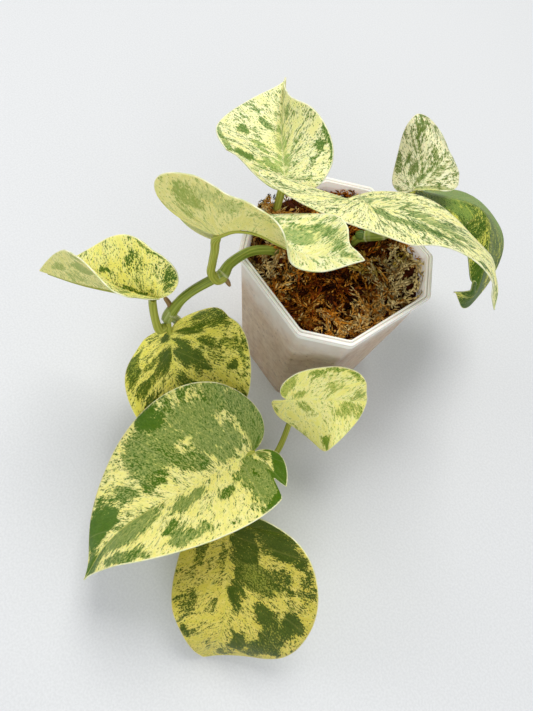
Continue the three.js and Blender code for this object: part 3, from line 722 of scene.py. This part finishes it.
# the rib that a petiole sends under its blade: where it is followed, its diameters, and how deep it lies
underRib = {"shares": (0.05, 0.14, 0.27, 0.4, 0.54, 0.68, 0.82, 0.93), "startShare": 0.8, "scale": 0.8,
            "endDiameter": 0.7, "taper": 0.7, "sunk": 0.58}
stemLooks = {
    "vine": {"light": "98a444", "deep": "64761e", "brown": 0.05},
    "petiole": {"light": "b2b652", "deep": "868e2a", "brown": 0.04},
    "sheath": {"light": "aeb870", "deep": "839246", "brown": 0.10},
    "root": {"light": "a08358", "deep": "6a4a26", "brown": 0.7},
    "stub": {"light": "62782e", "deep": "3c5216", "brown": 0.05},
}


def stemMaterial(name, look):
    material, bench, shader = newMaterial("stem_" + name)
    # girth holds the place round the stem as two numbers, the run along it in centimetres, and the ring
    girth = bench.add("ShaderNodeAttribute", {"attribute_name": "girth"}).outputs
    fibre = bench.grain(girth["Vector"], (3.2, 3.2, 0.45), detail=3)
    blotch = bench.grain(girth["Vector"], (1.2, 1.2, 1.6), detail=3, roughness=0.6)
    tone = bench.mix(bench.ramp(fibre, 0.32, 0.66), look["deep"], look["light"])
    scab = bench.ramp(bench.minus(blotch, 0.72 - 0.45 * look["brown"]), 0.0, 0.05, 0.0, 0.8)
    tone = bench.mix(scab, tone, "8a6f45")
    tone = bench.mix(bench.times(girth["Alpha"], 0.75), tone, "c7c795")
    bench.give(shader, Base_Color=tone, Roughness=bench.ramp(blotch, 0.3, 0.7, 0.38, 0.55),
               Specular_IOR_Level=0.25, Normal=bench.bump(bench.maths("ADD", fibre, blotch), 0.5, 0.00035),
               Subsurface_Weight=0.1, Subsurface_Scale=0.002)
    return material


def underRibPoints(leaf, diameter, scale):
    # the petiole runs on as a raised rib under its blade
    points = []
    for share in underRib["shares"]:
        place, up = midribSpot(leaf, leaf["rib"]["length"] * share)[:2]
        width = blendValue(diameter * underRib["startShare"] * scale, underRib["endDiameter"],
                           share ** underRib["taper"])
        points.append((*(place - up * (leafForm["thickness"] / 2 + width * underRib["sunk"])), width))
    return points


def ringHeight(distance):
    # 1 on a leaf scar, and a little less on the fainter ring by it
    place, width, share = stemForm["secondRing"]
    fainter = share * math.exp(-((distance - place) / width) ** 2)
    return max(math.exp(-(distance / stemForm["ringWidth"]) ** 2), fainter)


def stemTube(name, stem, materials):
    points, rowsEach = list(stem["points"]), stemForm["rowsEach"]
    facing = Vector((0.3, -0.4, 1))
    if "leaf" in stem:
        leaf = leaves[stem["leaf"]]
        facing = leaf["up"][0]
        points += underRibPoints(leaf, points[-1][3], stem.get("ribScale", underRib["scale"]))
    route = routeTable(points, (len(points) - 1) * rowsEach)
    outward = carriedAlong(reversed(route["heading"]), facing)[::-1]
    scars = [route["run"][number * rowsEach] for number in stem.get("rings", ())]
    ribCount, ribHeight = stem.get("ribs", stemForm["ribs"])
    channelDepth, channelWidth = stemForm["channel"]
    bm = bmesh.new()
    girth = bm.verts.layers.float_color.new("girth")
    for vert, row, turn, side, across in tubeSpots(bm, route, outward, stemForm["sides"]):
        before, share = pointBefore(row / rowsEach, points)
        radius = blendValue(points[before][3], points[before + 1][3], smoothStep(0, 1, share)) / 2
        run = route["run"][row]
        ring = max([ringHeight(run - scar) for scar in scars], default=0)
        radius += stemForm["ringRise"] * ring
        toEnd = min(run, route["length"] - run)
        if toEnd < radius:
            radius *= math.sqrt(clamp(1 - (1 - toEnd / radius) ** 2))
        radius *= 1 + ribHeight * math.cos(ribCount * turn)
        if "leaf" in stem:
            radius *= 1 - channelDepth * math.exp(-(min(turn, math.tau - turn) / channelWidth) ** 2)
        vert[girth] = (math.cos(turn), math.sin(turn), run / 10, ring)
        vert.co = (route["spots"][row] + (side * math.cos(turn) + across * math.sin(turn)) * radius) * mm
    bmesh.ops.remove_doubles(bm, verts=bm.verts, dist=1e-7)
    bmesh.ops.recalc_face_normals(bm, faces=bm.faces)
    newPiece(name, bm, materials, [stem.get("node", "vine")])


stemMaterials = {name: stemMaterial(name, look) for name, look in stemLooks.items()}
for name, stem in stems.items():
    stemTube(name, stem, [stemMaterials[stem.get("look", "petiole")]])
print("stems", len(stems))


# Pot: a square with cut corners, drawn as rings up a profile

pot = {
    # taperHeight: how far down the walls would meet. groove: start and end inward from the lip's edge, depth
    "across": 80, "height": 96, "flatHalf": 23.3, "taperHeight": 510, "wall": 1.6, "floor": 2,
    "lipOverhang": 1.2, "lipDepth": 3, "groove": (1.1, 2.1, 0.6), "grooveSlope": 0.3,
    "edgeRound": 0.5, "baseRound": 1.2, "arrisRound": 1.4, "baseFlat": 18,
    "drain": {"count": 8, "diameter": 5, "circle": 40, "sides": 28},
    "arrisSteps": 5, "flatSteps": 6, "wallRows": (0.2, 0.4, 0.6, 0.8),
    "softEdge": 0.18, "softEdgeSteps": 2, "softEdgeAngle": 28,
}


def potOuter(height):
    top = pot["across"] / 2 - pot["lipOverhang"]
    return top * (1 - (pot["height"] - height) / pot["taperHeight"])


def potInner(height):
    return potOuter(height) - pot["wall"]


def potPlan():
    # plan points of a unit pot, with rounded arrises and a few points along each flat
    cut = pot["flatHalf"] / (pot["across"] / 2)
    corners = [Vector(corner) for corner in ((cut, -1), (1, -cut), (1, cut), (cut, 1), (-cut, 1), (-1, cut),
                                             (-1, -cut), (-cut, -1))]
    reach = pot["arrisRound"] / (pot["across"] / 2)
    plan = []
    for k, corner in enumerate(corners):
        before, after = corners[k - 1], corners[(k + 1) % len(corners)]
        start = corner + (before - corner).normalized() * reach
        end = corner + (after - corner).normalized() * reach
        for step in range(pot["arrisSteps"] + 1):
            t = step / pot["arrisSteps"]
            plan.append(start * (1 - t) ** 2 + corner * 2 * t * (1 - t) + end * t * t)
        nextStart = after + (corner - after).normalized() * reach
        for step in range(1, pot["flatSteps"]):
            plan.append(end.lerp(nextStart, step / pot["flatSteps"]))
    return plan


def potProfile():
    # (half width, height) from the middle of the base, up the outside, over the lip and down the inside
    half, top, floor = pot["across"] / 2, pot["height"], pot["floor"]
    lipFoot = top - pot["lipDepth"]
    grooveFrom, grooveTo, grooveDepth = pot["groove"]
    slope, rounding, base = pot["grooveSlope"], pot["edgeRound"], pot["baseRound"]
    wallRows = [lipFoot * share for share in pot["wallRows"]]
    outside = [(0, 0), (pot["baseFlat"], 0), (potOuter(0) - base, 0),
               (potOuter(0) - base * 0.3, base * 0.3), (potOuter(base), base)]
    outside += [(potOuter(height), height) for height in wallRows]
    lip = [(potOuter(lipFoot - rounding), lipFoot - rounding), (half, lipFoot), (half, top - rounding),
           (half - rounding, top), (half - grooveFrom, top), (half - grooveFrom - slope, top - grooveDepth),
           (half - grooveTo + slope, top - grooveDepth), (half - grooveTo, top),
           (potInner(top) + rounding, top), (potInner(top), top - rounding)]
    inside = [(potInner(height), height) for height in reversed(wallRows)]
    return outside + lip + inside + [(potInner(floor), floor), (pot["baseFlat"], floor), (0, floor)]


def potMaterial():
    # frosted plastic, with the damp moss behind it showing through as a warm grey. Heights are in metres.
    material, bench, shader = newMaterial("potPlastic")
    spot = bench.objectSpot()
    place = bench.add("ShaderNodeSeparateXYZ", Vector=spot).outputs
    height = place[2]
    cloud = bench.grain(spot, (45, 45, 45), detail=4, roughness=0.6)
    lumps = bench.grain(spot, (230, 230, 260), detail=3, roughness=0.6)
    specks = bench.grain(spot, (520, 520, 620), detail=1)
    scuff = bench.grain(spot, (300, 300, 40), detail=2)
    inMoss = bench.ramp(bench.spread(cloud, 0.045, height), 0.062, 0.088, 1.0, 0.0)
    warm = bench.mix(bench.ramp(lumps, 0.25, 0.75), "b5977c", "cbb49a")
    warm = bench.mix(bench.ramp(specks, 0.64, 0.72, 0.0, 0.55), warm, "6d5445")
    tone = bench.mix(inMoss, "dcd4c9", warm)
    # painted highlight and painted shade: the lip is painted lighter and its shallow groove darker, so that
    # the groove shows
    tone = bench.mix(bench.ramp(height, 0.0925, 0.0932), tone, "f3f1ea")
    groove = bench.times(bench.ramp(height, 0.0952, 0.0953), bench.ramp(height, 0.0955, 0.0958, 0.7, 0.0))
    tone = bench.mix(groove, tone, "b9b2a4")
    # painted glow: above the moss the inner side of the wall glows a little, an emission that stands in for
    # the light that comes through the frosted wall
    normal = bench.add("ShaderNodeNewGeometry").outputs["Normal"]
    facing = bench.add("ShaderNodeSeparateXYZ", Vector=normal).outputs
    outward = bench.times(facing[0], place[0], bench.times(facing[1], place[1]))
    paintedGlow = bench.times(bench.ramp(outward, -0.03, -0.01, 1.0, 0.0), bench.ramp(height, 0.08, 0.09))
    bench.give(shader, Base_Color=tone, Roughness=bench.ramp(scuff, 0.3, 0.7, 0.32, 0.46),
               Emission_Color=bench.mix(paintedGlow, "000000", "f4f0ea"), Emission_Strength=0.26,
               Normal=bench.bump(bench.times(cloud, 0.6, scuff), 0.12, 0.0004),
               Subsurface_Weight=0.15, Subsurface_Scale=0.003)
    return material


def drainCutter():
    drain = pot["drain"]
    bm = bmesh.new()
    for number in range(drain["count"]):
        angle = (number + 0.5) * math.tau / drain["count"]
        middle = Vector((math.cos(angle), math.sin(angle), 0)) * drain["circle"] / 2
        bmesh.ops.create_cone(bm, cap_ends=True, segments=drain["sides"], radius1=drain["diameter"] / 2 * mm,
                              radius2=drain["diameter"] / 2 * mm, depth=4 * pot["floor"] * mm,
                              matrix=Matrix.Translation(middle * mm))
    return newObject("drainCutter", newMesh("drainCutter", bm))


def potShell(material):
    plan, profile = potPlan(), potProfile()
    bm = bmesh.new()
    for vert, column, row in gridSpots(bm, len(plan), len(profile) - 1):
        spot, (half, height) = plan[column % len(plan)], profile[row]
        vert.co = Vector((spot.x * half, spot.y * half, height)) * mm
    bmesh.ops.remove_doubles(bm, verts=bm.verts, dist=1e-6)
    bmesh.ops.recalc_face_normals(bm, faces=bm.faces)
    shell = newPiece("pot_shell", bm, [material], ["pot"])
    cutter = drainCutter()
    setAll(shell.modifiers.new("drain", "BOOLEAN"), operation="DIFFERENCE", solver="EXACT", object=cutter)
    setAll(shell.modifiers.new("softEdges", "BEVEL"), width=pot["softEdge"] * mm, limit_method="ANGLE",
           segments=pot["softEdgeSteps"], angle_limit=math.radians(pot["softEdgeAngle"]))
    bpy.context.view_layer.update()
    finished = bpy.data.meshes.new_from_object(shell.evaluated_get(bpy.context.evaluated_depsgraph_get()))
    shell.modifiers.clear()
    shell.data = finished
    finished.shade_smooth()
    bpy.data.objects.remove(cutter)


potShell(potMaterial())
print("pot")


# Moss: a mound, and clumps of loose curled sprigs over it

moss = {
    "level": 87.5, "slope": 0.05, "wallGap": 0.35,
    # heaps and hollows: (x, y, height, spread)
    "heaps": [(-33, -8, 14, 8.5), (-17, -17, 5, 5), (-18, -25, 4.5, 6), (23, 24, 4.5, 7), (-5, 17, -4.5, 5)],
    # tones, from the darkest to the lightest tint
    "tones": ((0.08, "2a0a00"), (0.26, "742c00"), (0.45, "ac5c0a"), (0.64, "cf8826"), (0.82, "e2b05c"),
              (1.0, "f2da9a")),
    "twig": [(31.5, -12.5, 85, 1.5), (30, -10, 88.6, 1.4), (26, -6, 89.6, 1.3), (22, -1, 88, 1.2)],
    "bud": [(11, 34, 86, 2.2), (10.4, 36, 89.5, 2.6), (10, 36, 93.5, 1.4)],
}
mound = {
    "cells": 70, "sunk": 1.6, "floorGap": 0.3, "edgeDrop": 3, "wallLevels": (0.6, 0.3, 0.0),
    # roughness: (scale, height, layer of the noise). tint: in the middle, and what the roughness adds. dark:
    # painted shade on the mound, which lies under the clumps.
    "rough": ((0.35, 1.6, 3), (0.9, 0.8, 8)), "tint": (0.06, 0.12), "dark": 0.6,
}
sprig = {
    "shapes": 26, "length": (7, 14), "curl": (0.04, 0.42), "parts": 4, "radius": 0.55, "taper": 0.12,
    # leaflets: how many, angles between them and from the stem, sizes, and how flat they are
    "leaflets": (10, 14), "around": 2.4, "aroundSpread": 0.4, "leanFirst": (0.6, 1.05),
    "leanLast": (0.25, 0.6), "leafletLength": (2.4, 5), "leafletRadius": (0.5, 0.92), "leafletFlat": 0.45,
    # tint of the stem, and of the leaflets
    "stemTint": -0.08, "leafletTint": (-0.1, 0.18),
}
clumps = {
    "seed": 41, "count": 145, "sprigs": (4, 6), "spread": 2.6, "half": 37, "wallGap": 1, "sprigWallGap": 0.8,
    # heights over the ground: what the layer adds, then the lowest and the highest that a sprig may be
    "sunk": 1.6, "layerLift": 3.2, "low": -2.5, "high": 5.5,
    # middle and spread of the tone, what the layer adds, the spread in a clump, and the lightest
    "tone": (0.24, 0.12), "layerTone": 0.26, "toneSpread": 0.07, "lightest": 0.94,
    # painted shade: how dark the deepest ones are painted and how fast that fades, then how many are green,
    # and how green
    "darkness": 0.8, "darkFade": 1.6, "greenShare": 0.04, "greenness": (0.3, 0.7),
    "size": (0.65, 1.1), "lumpSize": (0.45, 0.65), "aroundSpread": 0.5, "rise": (-0.15, 0.75), "twist": 6.28,
    # tone zones: (x, y, lighter or darker, spread)
    "zones": [(-16, -27, 0.46, 11), (27, 20, 0.7, 13), (30, -14, 0.24, 10), (8, -4, -0.31, 14),
              (-30, -8, 0.12, 9), (-37, -20, 0.25, 5)],
    # lumps that stand above the rest: (x, y, lift)
    "lumps": [(-34, -17, 3), (-35, -18, 5), (-35.5, -21, 6.5), (-36, -17, 8), (-36, -20, 9.5),
              (-36.5, -21, 10.5), (-36, -19.5, 11.5), (-36.5, -18.5, 12.5), (-36.5, -20.5, 13),
              (-35.5, -19, 9), (-36.5, -19, 11), (-35, -20.5, 8), (-36, -18, 10)],
    # no clumps round the cut end of the far stem: (x, y, reach)
    "bare": (-4, 18, 6),
}


def hills(x, y, places):
    # sum of soft hills, each (x, y, height, spread)
    return sum(height * math.exp(-((x - hillX) ** 2 + (y - hillY) ** 2) / (2 * spread ** 2))
               for hillX, hillY, height, spread in places)


def mossHeight(x, y):
    # a slope with heaps, hollows and low waves
    waves = 1.3 * math.sin(0.33 * x + 0.8) * math.cos(0.29 * y - 0.5) + 0.6 * math.sin(0.8 * x - 0.5 * y)
    return moss["level"] + moss["slope"] * y + hills(x, y, moss["heaps"]) + waves


def octagonShare(x, y, half):
    # 1 on the pot's inner wall, less inside it
    cut = pot["flatHalf"] / (pot["across"] / 2)
    return max(abs(x), abs(y), (abs(x) + abs(y)) / (1 + cut)) / half


def mossMaterial():
    # the tint's red picks the tone, its green adds live moss and its blue darkens towards a near-black brown,
    # which paints shade on the deep clumps and the mound and also darkens the twig
    material, bench, shader = newMaterial("mossFibre")
    tint, live, dark = bench.attribute("tint")[:3]
    grit = bench.grain(bench.objectSpot(), (900, 900, 900), detail=3)
    ramp = bench.add("ShaderNodeValToRGB", Fac=bench.times(grit, 0.25, tint))
    first, *between, last = moss["tones"]
    elements = ramp.color_ramp.elements
    for element, (position, code) in zip(elements, (first, last)):
        element.position, element.color = position, colour(code)
    for position, code in between:
        elements.new(position).color = colour(code)
    tone = bench.mix(bench.times(live, 0.8), ramp.outputs[0], "9aa045")
    # painted shade: the tint's blue mixes in the near-black brown
    bench.give(shader, Base_Color=bench.mix(dark, tone, "180800"),
               Roughness=bench.ramp(grit, 0.3, 0.7, 0.7, 0.95), Specular_IOR_Level=0.12,
               Normal=bench.bump(grit, 0.8, 0.0005))
    return material


def mossMound(material):
    inner = potInner(moss["level"]) - moss["wallGap"]
    middleTint, addedTint = mound["tint"]
    bm = bmesh.new()
    bmesh.ops.create_grid(bm, x_segments=mound["cells"], y_segments=mound["cells"], size=1)
    tint = bm.verts.layers.float_color.new("tint")
    for vert in bm.verts:
        # the square grid is drawn in to the pot's octagon
        reach = max(abs(vert.co.x), abs(vert.co.y))
        scale = inner * reach / max(octagonShare(vert.co.x, vert.co.y, 1), 1e-9)
        x, y = vert.co.x * scale, vert.co.y * scale
        rough = sum(noise.noise(Vector((x, y, layer)) * fineness) * height
                    for fineness, height, layer in mound["rough"])
        # the blue of the tint carries the mound's painted shade
        vert[tint] = (middleTint + addedTint * rough, 0.0, mound["dark"], 1)
        vert.co = Vector((x, y, mossHeight(x, y) - mound["sunk"] + rough)) * mm
    border = [edge for edge in bm.edges if edge.is_boundary]
    floorHalf = potInner(pot["floor"]) - moss["wallGap"]
    for level in mound["wallLevels"]:
        grown = bmesh.ops.extrude_edge_only(bm, edges=border)["geom"]
        border = [part for part in grown if isinstance(part, bmesh.types.BMEdge) and part.is_boundary]
        height = blendValue(pot["floor"] + mound["floorGap"], moss["level"] - mound["edgeDrop"], level)
        half = blendValue(floorHalf, inner, level)
        for vert in {vert for edge in border for vert in edge.verts}:
            share = octagonShare(vert.co.x / mm, vert.co.y / mm, 1)
            vert.co = Vector((vert.co.x * half / share, vert.co.y * half / share, height * mm))
    bmesh.ops.holes_fill(bm, edges=border)
    bmesh.ops.recalc_face_normals(bm, faces=bm.faces)
    newPiece("moss_mound", bm, [material], ["moss"])


def strandTube(bm, tint, points, tone, sides=4, between=1, flat=1.0):
    # one strand through points of (x, y, z, radius), closed to a point at both ends
    rows = (len(points) - 1) * between
    route = routeTable(points, rows)
    outward = carriedAlong(route["heading"], Vector((0.31, 0.52, 0.8)))
    for vert, row, turn, side, across in tubeSpots(bm, route, outward, sides):
        before, share = pointBefore(row / between, points)
        radius = blendValue(points[before][3], points[before + 1][3], share) if 0 < row < rows else 0
        out = side * math.cos(turn) * flat + across * math.sin(turn)
        vert[tint] = tone
        vert.co = (route["spots"][row] + out * radius) * mm


def sprigShape(draw):
    # a curled stem that starts along X, with thin leaflets all round it
    bm = bmesh.new()
    tint = bm.verts.layers.float_color.new("tint")
    axis = Vector((draw.uniform(-0.5, 0.5), draw.uniform(-1, 1), draw.uniform(-1, 1))).normalized()
    length, curl = draw.uniform(*sprig["length"]), draw.uniform(*sprig["curl"])
    place, heading, points = Vector((0, 0, 0)), Vector((1, 0, 0)), []
    for step in range(sprig["parts"] + 1):
        points.append((*place, sprig["radius"] * (1 - sprig["taper"] * step)))
        heading = Quaternion(axis, curl) @ heading
        place = place + heading * (length / sprig["parts"])
    strandTube(bm, tint, points, (sprig["stemTint"], 0, 0, 1))
    route = routeTable(points, 40)
    count = draw.randint(*sprig["leaflets"])
    for number in range(count):
        share = (number + 0.6) / count
        spot, along = onRoute(route, route["length"] * share)
        around = number * sprig["around"] + draw.uniform(-sprig["aroundSpread"], sprig["aroundSpread"])
        side = Quaternion(along, around) @ along.orthogonal().normalized()
        lean = blendValue(draw.uniform(*sprig["leanFirst"]), draw.uniform(*sprig["leanLast"]), share)
        way = along * math.cos(lean) + side * math.sin(lean)
        reach = draw.uniform(*sprig["leafletLength"]) * (1.1 - 0.3 * share)
        # it bows out from the stem, and its tip turns along it
        middle = spot + way * (0.45 * reach) + side * (0.06 * reach)
        tip = spot + way * (0.85 * reach) + along * (0.2 * reach)
        radius = draw.uniform(*sprig["leafletRadius"])
        strandTube(bm, tint, [(*spot, radius), (*middle, radius), (*tip, radius)],
                   (draw.uniform(*sprig["leafletTint"]), 0, 0, 1), sides=3, flat=sprig["leafletFlat"])
    bmesh.ops.remove_doubles(bm, verts=bm.verts, dist=1e-8)
    return newMesh("sprig", bm)


def keptInPot(place, low, high):
    # a place held between two heights over the ground, and inside the wall
    ground = mossHeight(place.x, place.y)
    place.z = clamp(place.z, ground + low, ground + high)
    wall = potInner(min(place.z, pot["height"])) - clumps["sprigWallGap"]
    share = max(octagonShare(place.x, place.y, wall), 1)
    return Vector((place.x / share, place.y / share, place.z))


def clumpPlaces(draw):
    # (x, y, lift) of every clump inside the wall, then of the lumps
    places, half = [], clumps["half"]
    bareX, bareY, bareReach = clumps["bare"]
    while len(places) < clumps["count"]:
        x, y = draw.uniform(-half, half), draw.uniform(-half, half)
        inside = octagonShare(x, y, potInner(moss["level"]) - clumps["wallGap"]) <= 1
        if inside and math.hypot(x - bareX, y - bareY) > bareReach:
            places.append((x, y, 0))
    return places + clumps["lumps"]


def mossStrands(material):
    # clumps of sprigs that spread from their middle, darker and redder where they lie deep: their tone is
    # lower there, and painted shade darkens them
    draw = random.Random(clumps["seed"])
    shapes = [sprigShape(draw) for number in range(sprig["shapes"])]
    bm = bmesh.new()
    tint = bm.verts.layers.float_color.new("tint")
    for x, y, lift in clumpPlaces(draw):
        layer = draw.random()
        tone = draw.gauss(*clumps["tone"]) + clumps["layerTone"] * layer + hills(x, y, clumps["zones"])
        green = draw.uniform(*clumps["greenness"]) if draw.random() < clumps["greenShare"] else 0
        # painted shade on the clumps that lie deep; the raised lumps get none
        dark = clumps["darkness"] * (1 - layer) ** clumps["darkFade"] if lift == 0 else 0
        first = draw.uniform(0, math.tau)
        count = draw.randint(*clumps["sprigs"])
        for number in range(count):
            around = first + math.tau * number / count
            around += draw.uniform(-clumps["aroundSpread"], clumps["aroundSpread"])
            heading = Vector((math.cos(around), math.sin(around), draw.uniform(*clumps["rise"]))).normalized()
            start = Vector((x + draw.gauss(0, clumps["spread"]), y + draw.gauss(0, clumps["spread"]), 0))
            start.z = mossHeight(start.x, start.y) + clumps["layerLift"] * layer - clumps["sunk"] + lift
            twist = Quaternion((1, 0, 0), draw.uniform(0, clumps["twist"]))
            turn = Vector((1, 0, 0)).rotation_difference(heading) @ twist
            size = draw.uniform(*clumps["size" if lift == 0 else "lumpSize"])
            shade = tone + draw.gauss(0, clumps["toneSpread"])
            before = len(bm.verts)
            bm.from_mesh(draw.choice(shapes))
            bm.verts.ensure_lookup_table()
            for vert in bm.verts[before:]:
                spot = start + turn @ (vert.co * (size / mm))
                vert[tint] = (clamp(shade + vert[tint][0], 0, clumps["lightest"]), green, dark, 1)
                vert.co = keptInPot(spot, clumps["low"], clumps["high"] + lift) * mm
    for shape in shapes:
        bpy.data.meshes.remove(shape)
    newPiece("moss_strands", bm, [material])


def thickStrand(name, material, green, dark):
    bm = bmesh.new()
    tint = bm.verts.layers.float_color.new("tint")
    points = [(*point[:3], point[3] / 2) for point in moss[name]]
    strandTube(bm, tint, points, (0.05, green, dark, 1), sides=10, between=6)
    bmesh.ops.remove_doubles(bm, verts=bm.verts, dist=1e-8)
    newPiece("moss_" + name, bm, [material])


mossFibre = mossMaterial()
mossMound(mossFibre)
mossStrands(mossFibre)
thickStrand("twig", mossFibre, 0, 0.5)
thickStrand("bud", mossFibre, 0.9, 0)
print("moss")


# Floor, light and camera

stage = {"floorHalf": 900, "floorTones": ("d8dadd", "d1d3d6")}
lights = {
    "key": {"place": (-380, 420, 1150), "size": 620, "watts": 10.6, "tone": (1.0, 0.985, 0.94)},
    "fill": {"place": (620, -420, 620), "size": 700, "watts": 3.4, "tone": (0.98, 0.99, 1.0)},
    "back": {"place": (-560, -560, 420), "size": 500, "watts": 1.8, "tone": (1.0, 1.0, 1.0)},
}
lightsAim = (10, -30, 80)
worldLight = {"tone": (0.98, 0.99, 1.0), "strength": 0.42}
cameraView = {"place": (83, -128, 296), "target": (24, -57, 96), "roll": 17, "lens": 36.07, "sensor": 36,
              "nearest": 5}


def floorPlane():
    bm = bmesh.new()
    bmesh.ops.create_grid(bm, x_segments=1, y_segments=1, size=stage["floorHalf"] * mm)
    paper = grainMaterial("floorPaper", *stage["floorTones"], 900, 0.3, 0.7, 0.85)
    floor = newObject("floor", newMesh("floor", bm, [paper]))


def areaLight(name, light):
    data = bpy.data.lights.new(name, "AREA")
    lamp = newObject(name, setAll(data, energy=light["watts"], size=light["size"] * mm, color=light["tone"]))
    lamp.location = Vector(light["place"]) * mm
    towards = Vector(lightsAim) * mm - lamp.location
    lamp.rotation_euler = towards.to_track_quat("-Z", "Y").to_euler()


def worldSky():
    world = bpy.data.worlds.new("studio")
    world.use_nodes = True
    sky = world.node_tree.nodes["Background"]
    sky.inputs["Color"].default_value = (*worldLight["tone"], 1)
    sky.inputs["Strength"].default_value = worldLight["strength"]
    bpy.context.scene.world = world


def photoCamera():
    place, target = Vector(cameraView["place"]), Vector(cameraView["target"])
    forward = (target - place).normalized()
    right = forward.cross(Vector((0, 0, 1))).normalized()
    down = forward.cross(right)
    roll = math.radians(cameraView["roll"])
    turnedRight = right * math.cos(roll) - down * math.sin(roll)
    turnedDown = right * math.sin(roll) + down * math.cos(roll)
    data = bpy.data.cameras.new("camera")
    setAll(data, sensor_fit="HORIZONTAL", sensor_width=cameraView["sensor"], lens=cameraView["lens"],
           clip_start=cameraView["nearest"] * mm)
    camera = newObject("camera", data)
    turn = Matrix((turnedRight, -turnedDown, -forward)).transposed()
    camera.matrix_world = Matrix.Translation(place * mm) @ turn.to_4x4()
    bpy.context.scene.camera = camera


floorPlane()
for name, light in lights.items():
    areaLight(name, light)
worldSky()
bpy.context.scene.view_settings.view_transform = "Standard"
photoCamera()
print("stage, lights and camera")
